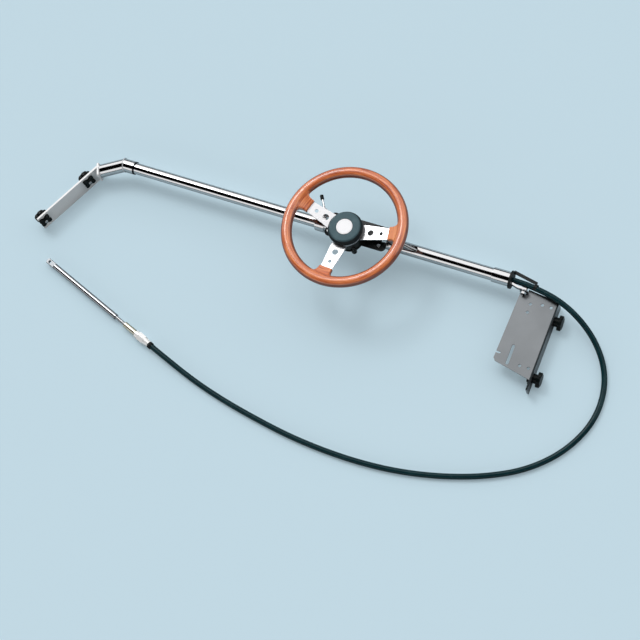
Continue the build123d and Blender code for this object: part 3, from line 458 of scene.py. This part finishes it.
@dataclass(frozen=True)
class Varnished:
    """Varnished wood whose grain runs round the wheel.

    The sides and the underside carry painted shade, darker where the rim's round section falls
    away. On the lugs the painted shade starts at one height instead.
    """

    name: str
    axis: tuple[float, float]
    middle_height: float
    middle_radius: float
    spoke_angles: tuple[float, ...] = (165.0, -93.0, 9.0)
    pale: Colour = (0.84, 0.29, 0.10)
    middle: Colour = (0.62, 0.155, 0.050)
    dark: Colour = (0.36, 0.065, 0.022)
    lug: Colour = (0.90, 0.27, 0.045)
    # Colour of the painted shade on the rim's sides and underside
    painted_shade: Colour = (0.13, 0.022, 0.009)
    band_waves: Point = (14.0, 260.0, 260.0)
    band_warp: float = 0.6
    band_stops: tuple[float, ...] = (0.3, 0.48, 0.68)
    band_relief: float = 0.6
    pore_waves: Point = (60.0, 1500.0, 1500.0)
    pore_range: Span = (0.58, 0.68)
    pore_cover: float = 0.55
    pore_relief: float = 0.4
    relief_depth: float = 6e-5
    # Where the painted shade fades in: by the section's steepness on the rim, by height on the
    # lugs
    shade_steepness: Span = (0.52, 0.80)
    lug_shade_heights: Span = (-0.0115, -0.0085)
    painted_shade_cover: float = 0.85
    inner_side: Span = (-0.011, -0.004)
    lug_half: float = 0.024
    lug_blur: float = 0.01
    lug_start: float = 0.02
    lug_cover: float = 0.5
    lug_shade: float = 0.72
    smooth: float = 0.28
    rough: float = 0.42
    shine: float = 0.5
    coat: float = 1.0
    coat_rough: float = 0.12

    def lug_at(self, paint: Paint, x: Sock, y: Sock, angle: float) -> Sock:
        """Mark the sector in which one spoke's lug lies.

        Args:
            paint: The material's tree.
            x: Place along X from the wheel's axis.
            y: Place along Y from the wheel's axis.
            angle: The spoke's angle in degrees.

        Returns:
            One on the lug, zero away from it.
        """
        turn = math.radians(angle)
        along = x * math.cos(turn) + y * math.sin(turn)
        across = y * math.cos(turn) - x * math.sin(turn)
        aside = (across * across) ** 0.5
        beside = paint.fade(aside, self.lug_half, self.lug_half + self.lug_blur)
        return (1.0 - beside) * paint.fade(along, 0.0, self.lug_start)

    def make(self) -> bpy.types.Material:
        """Build the material.

        Returns:
            Bent wood with long pores, growth bands and a clear coat.
        """
        paint = Paint(self.name)
        x, y, z = paint.axes()
        x, y = x - self.axis[0], y - self.axis[1]
        radius = (x * x + y * y) ** 0.5
        round_rim = paint.node("CombineXYZ", {}, y.turn_from(x) * self.middle_radius, radius, z)
        bands = paint.noise(self.band_waves, detail=5.0, place=round_rim, warp=self.band_warp)
        pores = paint.fade(paint.noise(self.pore_waves, place=round_rim), *self.pore_range)
        shade = paint.ramp(bands, *zip(self.band_stops, (self.dark, self.middle, self.pale)))
        out = radius - self.middle_radius
        up = z - self.middle_height
        steep = up / (out * out + up * up) ** 0.5
        inner = 1.0 - paint.fade(out, *self.inner_side)
        lugs = [self.lug_at(paint, x, y, angle) * inner for angle in self.spoke_angles]
        # Only the last spoke's lug faces the light and looks more orange
        lug_shade = paint.blend(bands, self.lug, scaled(self.lug, self.lug_shade))
        shade = paint.blend(lugs[-1] * self.lug_cover, shade, lug_shade)
        shade = paint.blend(pores * self.pore_cover, shade, self.dark)
        # Painted shade: darker where the rim's section turns down, and on the lugs below one
        # height
        on_rim = 1.0 - paint.fade(steep, *self.shade_steepness)
        on_lug = 1.0 - paint.fade(up, *self.lug_shade_heights)
        under = paint.blend(lugs[0] + lugs[1] + lugs[2], on_rim, on_lug)
        shade = paint.blend(under * self.painted_shade_cover, shade, self.painted_shade)
        relief = bands * self.band_relief - pores * self.pore_relief
        return paint.set(
            Base_Color=shade,
            Roughness=mixed(self.smooth, self.rough, bands),
            Specular_IOR_Level=self.shine,
            Coat_Weight=self.coat,
            Coat_Roughness=self.coat_rough,
            Normal=paint.bump(relief, self.relief_depth),
        )


@dataclass(frozen=True)
class Satin:
    """Satin aluminium with fine lines, longest along the bar."""

    name: str
    colour: Colour = (0.90, 0.90, 0.92)
    smooth: float = 0.26
    rough: float = 0.42
    metallic: float = 0.85
    line_waves: Point = (40.0, 1400.0, 500.0)
    line_depth: float = 2e-6
    cloud_waves: float = 25.0
    cloud_shade: float = 0.93

    def make(self) -> bpy.types.Material:
        """Build the material.

        Returns:
            Pale satin metal with fine short lines.
        """
        paint = Paint(self.name)
        lines = paint.noise(self.line_waves, detail=4.0, rough=0.6)
        clouds = paint.noise(self.cloud_waves)
        return paint.set(
            Base_Color=paint.blend(clouds, scaled(self.colour, self.cloud_shade), self.colour),
            Metallic=self.metallic,
            Roughness=mixed(self.smooth, self.rough, lines),
            Normal=paint.bump(lines, self.line_depth),
        )


@dataclass(frozen=True)
class Badge:
    """The blank enamelled disc, with a fine raised ring near its edge.

    The ring's two sides are shares of the disc's radius.
    """

    name: str
    axis: tuple[float, float]
    radius: float
    colour: Colour = (0.84, 0.84, 0.86)
    smooth: float = 0.16
    rough: float = 0.26
    coat: float = 0.5
    ring_inside: Span = (0.82, 0.85)
    ring_outside: Span = (0.88, 0.91)
    ring_cover: float = 0.25
    ring_shade: float = 0.7
    relief_depth: float = 2e-4
    peel_waves: float = 500.0
    peel_relief: float = 0.06
    cloud_waves: float = 60.0
    cloud_shade: float = 0.95

    def make(self) -> bpy.types.Material:
        """Build the material.

        Returns:
            Pale gloss enamel with one shallow ring.
        """
        paint = Paint(self.name)
        x, y, _ = paint.axes()
        x, y = x - self.axis[0], y - self.axis[1]
        out = (x * x + y * y) ** 0.5 / self.radius
        ring = paint.fade(out, *self.ring_inside) * (1.0 - paint.fade(out, *self.ring_outside))
        peel = paint.noise(self.peel_waves, detail=2.0)
        cloud = paint.noise(self.cloud_waves)
        shade = paint.blend(cloud, scaled(self.colour, self.cloud_shade), self.colour)
        ring_shade = scaled(self.colour, self.ring_shade)
        return paint.set(
            Base_Color=paint.blend(ring * self.ring_cover, shade, ring_shade),
            Roughness=mixed(self.smooth, self.rough, cloud),
            Coat_Weight=self.coat,
            Normal=paint.bump(ring + peel * self.peel_relief, self.relief_depth),
        )


# Mesh tools


def mesh_piece(name: str, build: Callable[[bmesh.types.BMesh], None]) -> bpy.types.Object:
    """Make a smooth-shaded mesh piece.

    Args:
        name: The piece's name.
        build: What fills the empty mesh.

    Returns:
        The piece, linked to the scene.
    """
    work = bmesh.new()
    build(work)
    bmesh.ops.recalc_face_normals(work, faces=work.faces)
    data = bpy.data.meshes.new(name)
    work.to_mesh(data)
    work.free()
    piece = bpy.data.objects.new(name, data)
    bpy.context.scene.collection.objects.link(piece)
    for polygon in data.polygons:
        polygon.use_smooth = True
    return piece


def spoke_at(side: Vector, up: Vector, turn: float) -> Vector:
    """Give the direction that lies a turn, in radians, from side towards up."""
    return side * math.cos(turn) + up * math.sin(turn)


def tube_along(
    work: bmesh.types.BMesh,
    path: Sequence[Vector],
    radius: Callable[[float], float],
    sides: int,
    closed: bool,
) -> None:
    """Add a round tube that follows a path.

    Args:
        work: The mesh it goes into.
        path: The points of its centreline.
        radius: Its radius by the share of the path already run.
        sides: How many sides its section has.
        closed: Whether the path's end meets its start.
    """
    count = len(path)
    rings = []
    normal = None
    for index, here in enumerate(path):
        ahead = path[(index + 1) % count] if closed or index + 1 < count else here
        behind = path[index - 1] if closed or index > 0 else here
        way = (ahead - behind).normalized()
        if normal is None:
            normal = way.orthogonal().normalized()
        normal = (normal - way * normal.dot(way)).normalized()
        side = way.cross(normal)
        size = radius(index / max(1, count - 1))
        ring = []
        for step in range(sides):
            out = spoke_at(normal, side, 2 * math.pi * step / sides)
            ring.append(work.verts.new(here + out * size))
        rings.append(ring)
    pairs = list(zip(rings, rings[1:]))
    if closed:
        pairs.append((rings[-1], rings[0]))
    for low, high in pairs:
        for step in range(sides):
            after = (step + 1) % sides
            work.faces.new((low[step], low[after], high[after], high[step]))
    if not closed:
        work.faces.new(rings[0])
        work.faces.new(rings[-1])


def centre_of(node: str) -> Vector:
    """Give the middle of a CAD node's box."""
    low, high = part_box(node)
    return (low + high) / 2


def dress(piece: bpy.types.Object, material: bpy.types.Material) -> None:
    """Give a piece one material."""
    piece.data.materials.clear()
    piece.data.materials.append(material)


def settle(piece: bpy.types.Object, body: str, material: bpy.types.Material) -> None:
    """Put a finished piece on its body.

    Args:
        piece: The piece.
        body: The CAD body it rides on.
        material: Its material.
    """
    dress(piece, material)
    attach(piece, body)
    LOG.info("%s rides on %s", piece.name, body)


# Sub-assemblies


class Slot(Enum):
    """The record's material slots."""

    POLISHED = "polished_steel"
    BRUSHED = "brushed_steel"
    PLAIN = "threaded_steel"
    ENAMEL = "black_enamel"
    BRONZE = "bearing_bronze"
    ALUMINIUM = "satin_aluminium"
    WOOD = "varnished_wood"
    SLATE = "slate_plastic"
    BADGE = "white_badge"
    BLACK = "black_plastic"
    RUBBER = "black_rubber"
    JACKET = "cable_jacket"
    ZINC = "yellow_zinc"


Finish = Union[Steel, Moulded, Varnished, Satin, Badge]


@dataclass
class Finishes:
    """Every finish of the object, built once, with the places and sizes they depend on."""

    cap_face_round: float = 0.004
    cap_crevice: float = 0.001
    rim_half_height: float = 0.013
    rim_half_width: float = 0.015
    # Widths of the painted shade at the right clamp plate's top edge, the collar's mouth and the
    # ram's flat tip
    plate_edge: float = 0.002
    collar_mouth: float = 0.003
    ram_flat: float = 0.031
    made: dict[Slot, bpy.types.Material] = field(default_factory=dict)

    def metals(self) -> dict[Slot, Finish]:
        """Give the finish of each slot of bare or plated metal.

        Returns:
            The finishes by slot.
        """
        return {
            Slot.POLISHED: Steel(
                name="polished_steel",
                colour=(0.72, 0.72, 0.73),
                smooth=0.05,
                rough=0.15,
                grain=Grain.ALONG_BAR,
            ),
            Slot.BRUSHED: Steel(
                name="brushed_steel",
                colour=(0.235, 0.25, 0.262),
                smooth=0.3,
                rough=0.46,
                grain=Grain.ACROSS_BAR,
                line_depth=4e-6,
                cloud=0.42,
            ),
            Slot.PLAIN: Steel(
                name="plain_steel",
                colour=(0.66, 0.66, 0.67),
                smooth=0.2,
                rough=0.36,
                grain=Grain.EVEN,
                line_depth=3e-6,
            ),
            Slot.BRONZE: Steel(
                name="bronze",
                colour=(0.60, 0.42, 0.22),
                smooth=0.25,
                rough=0.4,
                grain=Grain.EVEN,
                line_depth=3e-6,
            ),
            Slot.ZINC: Steel(
                name="yellow_zinc",
                colour=(0.72, 0.69, 0.58),
                smooth=0.22,
                rough=0.38,
                grain=Grain.EVEN,
                line_depth=3e-6,
            ),
            Slot.ALUMINIUM: Satin("satin_aluminium"),
        }

    def darks(self) -> dict[Slot, Finish]:
        """Give the finish of each dark slot.

        Returns:
            The finishes by slot.
        """
        cap_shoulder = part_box("hub_cap")[1].z - self.cap_face_round
        return {
            Slot.ENAMEL: Moulded(
                name="black_enamel",
                colour=(0.006, 0.008, 0.008),
                worn=(0.016, 0.018, 0.018),
                rough=0.3,
                skin_waves=900.0,
                skin_depth=2e-5,
            ),
            Slot.SLATE: Moulded(
                name="slate_plastic",
                colour=(0.05, 0.095, 0.112),
                worn=(0.075, 0.13, 0.148),
                rough=0.5,
                skin_waves=1600.0,
                skin_depth=3e-5,
                shadowed_below=cap_shoulder + self.cap_crevice,
            ),
            Slot.BLACK: Moulded(
                name="black_plastic",
                colour=(0.002, 0.004, 0.004),
                worn=(0.006, 0.009, 0.009),
                rough=0.24,
                skin_waves=700.0,
                skin_depth=1.5e-5,
                shine=0.12,
            ),
            Slot.RUBBER: Moulded(
                name="black_rubber",
                colour=(0.005, 0.008, 0.008),
                worn=(0.014, 0.018, 0.018),
                rough=0.5,
                skin_waves=1200.0,
                skin_depth=3e-5,
            ),
            Slot.JACKET: Moulded(
                name="cable_jacket",
                colour=(0.002, 0.020, 0.025),
                worn=(0.004, 0.028, 0.034),
                rough=0.22,
                skin_waves=300.0,
                skin_depth=1e-5,
                shine=0.16,
            ),
        }

    def wheel_finishes(self) -> dict[Slot, Finish]:
        """Give the finishes that are laid out round the wheel's axis.

        Returns:
            The finishes by slot.
        """
        middle = centre_of("hub_disc")
        axis = (middle.x, middle.y)
        disc_low, disc_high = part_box("hub_disc")
        rim_low, rim_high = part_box("wheel_rim")
        return {
            Slot.WOOD: Varnished(
                name="varnished_wood",
                axis=axis,
                middle_height=rim_high.z - self.rim_half_height,
                middle_radius=(rim_high.x - rim_low.x) / 2 - self.rim_half_width,
            ),
            Slot.BADGE: Badge("white_badge", axis, (disc_high.x - disc_low.x) / 2),
        }

    def own_finishes(self) -> dict[str, Steel]:
        """Give the finishes of the nodes that differ from the rest of their slot.

        Returns:
            The finishes by node.
        """
        plate_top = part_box("right_clamp_plate")[1].z
        collar_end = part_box("left_collar")[1].x
        ram_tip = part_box("ram")[0].x
        return {
            "left_clamp_plate": Steel(
                name="rolled_steel",
                colour=(0.90, 0.90, 0.90),
                smooth=0.4,
                rough=0.55,
                grain=Grain.EVEN,
                line_depth=3e-6,
                cloud=0.26,
                metallic=0.15,
            ),
            "conduit": Steel(
                name="conduit_steel",
                colour=(0.34, 0.35, 0.36),
                smooth=0.15,
                rough=0.3,
                grain=Grain.ALONG_BAR,
                line_depth=2e-6,
                cloud=0.2,
            ),
            "ram": Steel(
                name="ground_steel",
                colour=(0.42, 0.43, 0.45),
                smooth=0.05,
                rough=0.12,
                grain=Grain.EVEN,
                line_depth=2e-6,
                cloud=0.2,
                # Painted shade darkens the ram's flat tip
                end=PaintedShadeEnd((-1.0, 0.0, 0.0), -ram_tip - self.ram_flat, (0.10, 0.105, 0.11)),
            ),
            "cable_nut": Steel(
                name="nickel_plate",
                colour=(0.96, 0.96, 0.95),
                smooth=0.16,
                rough=0.28,
                grain=Grain.EVEN,
                line_depth=3e-6,
                cloud=0.08,
                metallic=0.35,
            ),
            "support_tube": Steel(
                name="drawn_steel",
                colour=(0.44, 0.45, 0.46),
                smooth=0.2,
                rough=0.34,
                grain=Grain.EVEN,
                line_depth=2e-6,
                cloud=0.2,
            ),
            "right_clamp_plate": Steel(
                name="edge_shaded_steel",
                colour=(0.42, 0.43, 0.44),
                smooth=0.3,
                rough=0.46,
                grain=Grain.EVEN,
                line_depth=3e-6,
                cloud=0.2,
                # Painted shade along the plate's top edge
                end=PaintedShadeEnd((0.0, 0.0, 1.0), plate_top - self.plate_edge),
            ),
            "left_collar": Steel(
                name="turned_steel",
                colour=(0.72, 0.72, 0.73),
                smooth=0.06,
                rough=0.15,
                grain=Grain.EVEN,
                # Painted shade in a ring round the collar's mouth
                end=PaintedShadeEnd((1.0, 0.0, 0.0), collar_end - self.collar_mouth),
            ),
        }

    def build(self) -> None:
        """Build one material for each slot."""
        for finishes in (self.metals(), self.darks(), self.wheel_finishes()):
            for slot, finish in finishes.items():
                self.made[slot] = finish.make()
                LOG.info("finish %s", slot.value)

    def dress_nodes(self) -> None:
        """Give every CAD node the finish of its slot, or its own where it differs."""
        slots = {row["node"]: Slot(row["material_slot"]) for row in frame["record"]["subparts"]}
        own = self.own_finishes()
        for node, piece in frame["nodes"].items():
            material = own[node].make() if node in own else self.made[slots[node]]
            dress(piece, material)
            LOG.info("%s has %s", node, material.name)


@dataclass
class FreeCable:
    """The steering cable that lies on the floor from the cap ring to its fittings."""

    diameter: float = 0.015
    length: float = 1.797
    fittings: tuple[str, ...] = (
        "cable_boot",
        "cable_nut",
        "spring_sleeve",
        "support_tube",
        "ram",
    )
    route: tuple[Point, ...] = (
        (0.5985, 0.0610, 0.0540),
        (0.6535, 0.0610, 0.0540),
        (0.7575, 0.0353, 0.0600),
        (0.8462, -0.0166, 0.0200),
        (0.9035, -0.1010, 0.0075),
        (0.9139, -0.2076, 0.0075),
        (0.8727, -0.3074, 0.0075),
        (0.7989, -0.3857, 0.0075),
        (0.7065, -0.4375, 0.0075),
        (0.6067, -0.4734, 0.0075),
        (0.5038, -0.4977, 0.0075),
        (0.3986, -0.5102, 0.0075),
        (0.2924, -0.5123, 0.0075),
        (0.1869, -0.5067, 0.0075),
        (0.0823, -0.4926, 0.0075),
        (-0.0218, -0.4746, 0.0075),
        (-0.1239, -0.4503, 0.0075),
        (-0.2282, -0.4164, 0.0130),
        (-0.2754, -0.4001, 0.0130),
    )

    def build(self, finishes: Finishes) -> None:
        """Args:
            finishes: The object's finishes.
        """
        data = bpy.data.curves.new("free_cable", "CURVE")
        data.dimensions = "3D"
        data.bevel_depth = self.diameter / 2
        data.bevel_resolution = 6
        data.resolution_u = 16
        data.use_fill_caps = True
        run = data.splines.new("NURBS")
        run.points.add(len(self.route) - 1)
        for point, place in zip(run.points, self.route):
            point.co = (*place, 1.0)
        run.order_u = 3
        run.use_endpoint_u = True
        cable = bpy.data.objects.new("free_cable", data)
        bpy.context.scene.collection.objects.link(cable)
        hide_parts("steering_cable")
        settle(cable, "bar", finishes.made[Slot.JACKET])


@dataclass
class WoodRim:
    """The wooden rim, with its lugs blended into it."""

    voxel: float = 0.0012
    smoothing: int = 26

    def build(self, finishes: Finishes) -> None:
        """Make the rim from its CAD solid, round its corners and put it on the wheel.

        Args:
            finishes: The object's finishes.
        """
        data = frame["nodes"]["wheel_rim"].data.copy()
        data.name = "wood_rim"
        rim = bpy.data.objects.new("wood_rim", data)
        bpy.context.scene.collection.objects.link(rim)
        remesh = rim.modifiers.new("remesh", "REMESH")
        remesh.mode = "VOXEL"
        remesh.voxel_size = self.voxel
        smooth = rim.modifiers.new("smooth", "SMOOTH")
        smooth.factor = 0.5
        smooth.iterations = self.smoothing
        graph = bpy.context.evaluated_depsgraph_get()
        shaped = bpy.data.meshes.new_from_object(rim.evaluated_get(graph))
        rim.modifiers.clear()
        rim.data = shaped
        for polygon in shaped.polygons:
            polygon.use_smooth = True
        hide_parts("wheel_rim")
        settle(rim, "wheel", finishes.made[Slot.WOOD])


@dataclass(frozen=True)
class Line:
    """A straight line's start, its way and two directions square to it."""

    origin: Vector
    way: Vector
    side: Vector
    up: Vector

    @classmethod
    def towards(cls, origin: Vector, way: Vector) -> "Line":
        """Give the line from a point along a way that isn't upright."""
        side = way.cross(UP).normalized()
        return cls(origin, way, side, side.cross(way))


@dataclass(frozen=True)
class Face:
    """A flat face's point and outward normal."""

    origin: Vector
    out: Vector


def left_plate_out(angle: float = math.radians(26.6)) -> Vector:
    """Give the way in which the left clamp plate's knobs point."""
    return Vector((-math.cos(angle), math.sin(angle), 0.0))


def inner_face(out: Vector) -> Face:
    """Give the face of the left clamp plate that lies lowest along one direction.

    Args:
        out: The direction, pointing away from the bar.

    Returns:
        The face, with that direction as its normal.
    """
    vertices = [vertex.co for vertex in frame["nodes"]["left_clamp_plate"].data.vertices]
    nearest = min(vertices, key=lambda place: place.dot(out))
    return Face(Vector(nearest), out)


def arm_line(
    bend: float = math.radians(26.0), dip: float = math.radians(9.0), mitre_back: float = 0.036
) -> Line:
    """Give the bent arm's centreline, from the mitre outward.

    Args:
        bend: How far the arm turns towards -Y.
        dip: How far it leans down.
        mitre_back: How far the mitre lies behind the collar's mouth.

    Returns:
        The line.
    """
    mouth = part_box("left_collar")[1].x
    middle = centre_of("inner_tube")
    way = Vector(
        (-math.cos(bend) * math.cos(dip), -math.sin(bend) * math.cos(dip), -math.sin(dip))
    )
    return Line.towards(Vector((mouth - mitre_back, middle.y, middle.z)), way)


@dataclass
class Welds:
    """The weld beads at the bent arm's mitre and where it meets its clamp plate."""

    bead: float = 0.0014
    bead_sides: int = 8
    ripple: float = 0.00035
    ripples: int = 44
    arm_radius: float = 0.0185
    seam_points: int = 180
    sunk_share: float = 0.4

    def run_bead(
        self, name: str, body: str, path: Sequence[Vector], material: bpy.types.Material
    ) -> None:
        """Run one closed, rippled bead.

        Args:
            name: The piece's name.
            body: The body it rides on.
            path: The points it follows.
            material: Its metal.
        """

        def size(share: float) -> float:
            """Give the bead's radius at a share of its length."""
            return self.bead + self.ripple * math.sin(share * 2 * math.pi * self.ripples)

        def fill(work: bmesh.types.BMesh) -> None:
            """Add the bead to the mesh."""
            tube_along(work, path, size, self.bead_sides, closed=True)

        settle(mesh_piece(name, fill), body, material)

    def seam(self, arm: Line, face: Face) -> list[Vector]:
        """Find the line in which the arm's outside meets a plane.

        Args:
            arm: The arm's centreline.
            face: The plane.

        Returns:
            The points of the closed seam, a little behind the plane.
        """
        path = []
        for step in range(self.seam_points):
            turn = 2 * math.pi * step / self.seam_points
            start = arm.origin + spoke_at(arm.side, arm.up, turn) * self.arm_radius
            reach = (face.origin - start).dot(face.out) / arm.way.dot(face.out)
            path.append(start + arm.way * reach - face.out * self.bead * self.sunk_share)
        return path

    def build(self, finishes: Finishes) -> None:
        """Run the beads at the arm's mitre and where it meets the left clamp plate.

        Args:
            finishes: The object's finishes.
        """
        arm = arm_line()
        level_way = Vector((arm.way.x, arm.way.y, 0.0)).normalized()
        mitre = Face(arm.origin, (arm.way - ALONG_BAR).normalized())
        metal = finishes.made[Slot.PLAIN]
        self.run_bead("arm_weld", "left_arm", self.seam(arm, inner_face(level_way)), metal)
        self.run_bead("mitre_weld", "left_arm", self.seam(arm, mitre), metal)


@dataclass
class StudThreads:
    """The thread ridges on the stud tips beyond the star pads."""

    pitch: float = 0.000775
    ridge: float = 0.00045
    ridge_sides: int = 6
    turns: int = 3
    steps_a_turn: int = 28
    stud_radius: float = 0.004
    tip_depth: float = 1e-5

    def build(self, finishes: Finishes) -> None:
        """Wind a short thread on each stud's inner tip.

        Args:
            finishes: The object's finishes.
        """
        sides = (("left", "left_arm", left_plate_out()), ("right", "bracket", ALONG_BAR))
        for side, body, out in sides:
            for number, tip in enumerate(self.tips(side, out), start=1):
                piece = self.wind(f"{side}_thread_{number}", tip, out)
                settle(piece, body, finishes.made[Slot.PLAIN])

    def tips(self, side: str, out: Vector) -> list[Vector]:
        """Find the middles of the two inner tips of one side's studs.

        Args:
            side: left or right.
            out: The direction from the tips to the knobs.

        Returns:
            The two places.
        """
        places = [Vector(v.co) for v in frame["nodes"][f"{side}_studs"].data.vertices]
        lowest = min(place.dot(out) for place in places)
        ends = [place for place in places if place.dot(out) < lowest + self.tip_depth]
        middle = sum(ends, Vector()) / len(ends)
        first = [place for place in ends if place.y > middle.y]
        second = [place for place in ends if place.y <= middle.y]
        return [sum(group, Vector()) / len(group) for group in (first, second)]

    def wind(self, name: str, tip: Vector, out: Vector) -> bpy.types.Object:
        """Make one short helical ridge.

        Args:
            name: The piece's name.
            tip: The middle of the stud's end face.
            out: The stud's direction.

        Returns:
            The ridge.
        """
        side = UP.cross(out)
        start = tip + out * self.ridge
        path = []
        for step in range(self.steps_a_turn * self.turns + 1):
            turns = step / self.steps_a_turn
            spoke = spoke_at(side, UP, 2 * math.pi * turns)
            path.append(start + out * (self.pitch * turns) + spoke * self.stud_radius)

        def fill(work: bmesh.types.BMesh) -> None:
            """Add the ridge to the mesh."""
            tube_along(work, path, lambda share: self.ridge, self.ridge_sides, closed=False)

        return mesh_piece(name, fill)


@dataclass
class BootRibs:
    """The grip ribs round the boot at the end of the cable."""

    count: int = 4
    rib: float = 0.0007
    rib_sides: int = 6
    rib_points: int = 48
    sunk_share: float = 0.6
    radius: float = 0.0093
    length: float = 0.010

    def build(self, finishes: Finishes, cable: FreeCable) -> None:
        """Put the ribs round the boot.

        Args:
            finishes: The object's finishes.
            cable: The cable whose end carries the boot.
        """
        end, before = Vector(cable.route[-1]), Vector(cable.route[-2])
        boot = Line.towards(end, (end - before).normalized())
        out = self.radius - self.rib * self.sunk_share

        def fill(work: bmesh.types.BMesh) -> None:
            """Add the ribs to the mesh."""
            for index in range(self.count):
                middle = boot.origin + boot.way * self.length * (index + 0.5) / self.count
                turns = (2 * math.pi * step / self.rib_points for step in range(self.rib_points))
                path = [middle + spoke_at(boot.side, boot.up, turn) * out for turn in turns]
                tube_along(work, path, lambda share: self.rib, self.rib_sides, closed=True)

        piece = mesh_piece("boot_ribs", fill)
        settle(piece, "bar", finishes.made[Slot.RUBBER])


# Studio


@dataclass(frozen=True)
class Lamp:
    """A far lamp: the way it shines, how wide it looks, and whether surfaces mirror it."""

    name: str
    way: Point
    strength: float
    softness: float
    mirrored: bool = True

    def hang(self) -> None:
        """Add the lamp to the scene."""
        data = bpy.data.lights.new(self.name, "SUN")
        data.energy = self.strength
        data.angle = self.softness
        lamp = bpy.data.objects.new(self.name, data)
        lamp.rotation_mode = "QUATERNION"
        lamp.rotation_quaternion = Vector(self.way).to_track_quat("-Z", "Y")
        lamp.visible_glossy = self.mirrored
        bpy.context.scene.collection.objects.link(lamp)


@dataclass
class Studio:
    """Floor, surroundings, lamps and camera.

    The sky's bands run along the bar. Each is an angle, in degrees from straight up towards -Y,
    and its brightness, and between two angles the brightness is mixed.
    """

    backdrop: Colour = (0.527, 0.680, 0.761)
    floor_tint: Colour = (0.53, 0.68, 0.76)
    floor_glow: float = 0.35
    floor_rough: float = 0.9
    floor_half: float = 12.0
    floor_drop: float = 0.0002
    focal_length: float = 84.375
    sensor: float = 36.0
    far_clip: float = 100.0
    camera_place: Point = (1.4305, -1.1596, 3.6511)
    camera_right: Point = (0.90116, 0.37401, -0.21915)
    camera_down: Point = (0.28817, -0.89455, -0.34167)
    camera_ahead: Point = (-0.32382, 0.24474, -0.91391)
    lamps: tuple[Lamp, ...] = (
        Lamp("key", (0.30, -0.42, -1.0), 0.76, math.radians(46.0), mirrored=False),
        Lamp("glint", (0.495, -0.365, -0.788), 0.75, math.radians(20.0)),
    )
    sky_strength: float = 1.25
    sky_bands: tuple[tuple[float, float], ...] = (
        (-90.0, 0.02),
        (-74.0, 0.02),
        (-67.0, 1.0),
        (-9.0, 1.0),
        (-5.0, 0.0),
        (50.0, 0.0),
        (55.0, 0.9),
        (82.0, 0.8),
        (85.0, 0.05),
        (90.0, 0.05),
    )

    def add_camera(self) -> None:
        """Stand the camera where the photograph was taken from."""
        data = bpy.data.cameras.new("camera")
        data.lens = self.focal_length
        data.sensor_width = self.sensor
        data.clip_end = self.far_clip
        camera = bpy.data.objects.new("camera", data)
        right, down, ahead = map(Vector, (self.camera_right, self.camera_down, self.camera_ahead))
        turn = Matrix((right, -down, -ahead)).transposed()
        camera.matrix_world = Matrix.Translation(self.camera_place) @ turn.to_4x4()
        bpy.context.scene.collection.objects.link(camera)
        bpy.context.scene.camera = camera

    def add_floor(self) -> None:
        """Lay the plain pale floor."""
        half = self.floor_half

        def fill(work: bmesh.types.BMesh) -> None:
            """Add one square to the mesh."""
            corners = [(-half, -half), (half, -half), (half, half), (-half, half)]
            work.faces.new([work.verts.new((x, y, -self.floor_drop)) for x, y in corners])

        floor = mesh_piece("floor", fill)
        paint = Paint("floor")
        material = paint.set(
            Base_Color=scaled(self.floor_tint, 1.0 - self.floor_glow),
            Roughness=self.floor_rough,
            Specular_IOR_Level=0.0,
            Emission_Color=self.floor_tint,
            Emission_Strength=paint.seen() * self.floor_glow,
        )
        dress(floor, material)

    def add_sky(self) -> None:
        """Surround the object with a pale room that has dark bands along the bar's way."""
        world = bpy.data.worlds.new("room")
        bpy.context.scene.world = world
        world.use_nodes = True
        tree = Tree(world.node_tree)
        way = tree.node("TexCoord", {}, out=Coordinates.GENERATED.value)
        _, y, z = tree.split(way)
        # From 0, level towards +Y, over 0.5, straight up, to 1, level towards -Y
        lean = (0.0 - y).turn_from(z) / math.pi + 0.5
        stops = [(angle / 180.0 + 0.5, (level, level, level)) for angle, level in self.sky_bands]
        seen = tree.seen()
        colour = tree.blend(seen, tree.ramp(lean, *stops), self.backdrop)
        strength = mixed(self.sky_strength, 1.0, seen)
        background = tree.node("Background", {}, Color=colour, Strength=strength)
        output = tree.nodes.nodes.new("ShaderNodeOutputWorld")
        tree.nodes.links.new(background.link, output.inputs["Surface"])

    def build(self) -> None:
        """Set the stage."""
        bpy.context.scene.view_settings.view_transform = "Standard"
        self.add_camera()
        self.add_floor()
        self.add_sky()
        for lamp in self.lamps:
            lamp.hang()
        LOG.info("the stage is set")


def main() -> None:
    """Build the stage, the finishes, the cable, the nodes' finishes and the trim, in order."""
    logging.basicConfig(level=logging.INFO, format="%(message)s")
    Studio().build()
    finishes = Finishes()
    finishes.build()
    cable = FreeCable()
    cable.build(finishes)
    finishes.dress_nodes()
    WoodRim().build(finishes)
    Welds().build(finishes)
    StudThreads().build(finishes)
    BootRibs().build(finishes, cable)


if __name__ == "__main__":
    main()
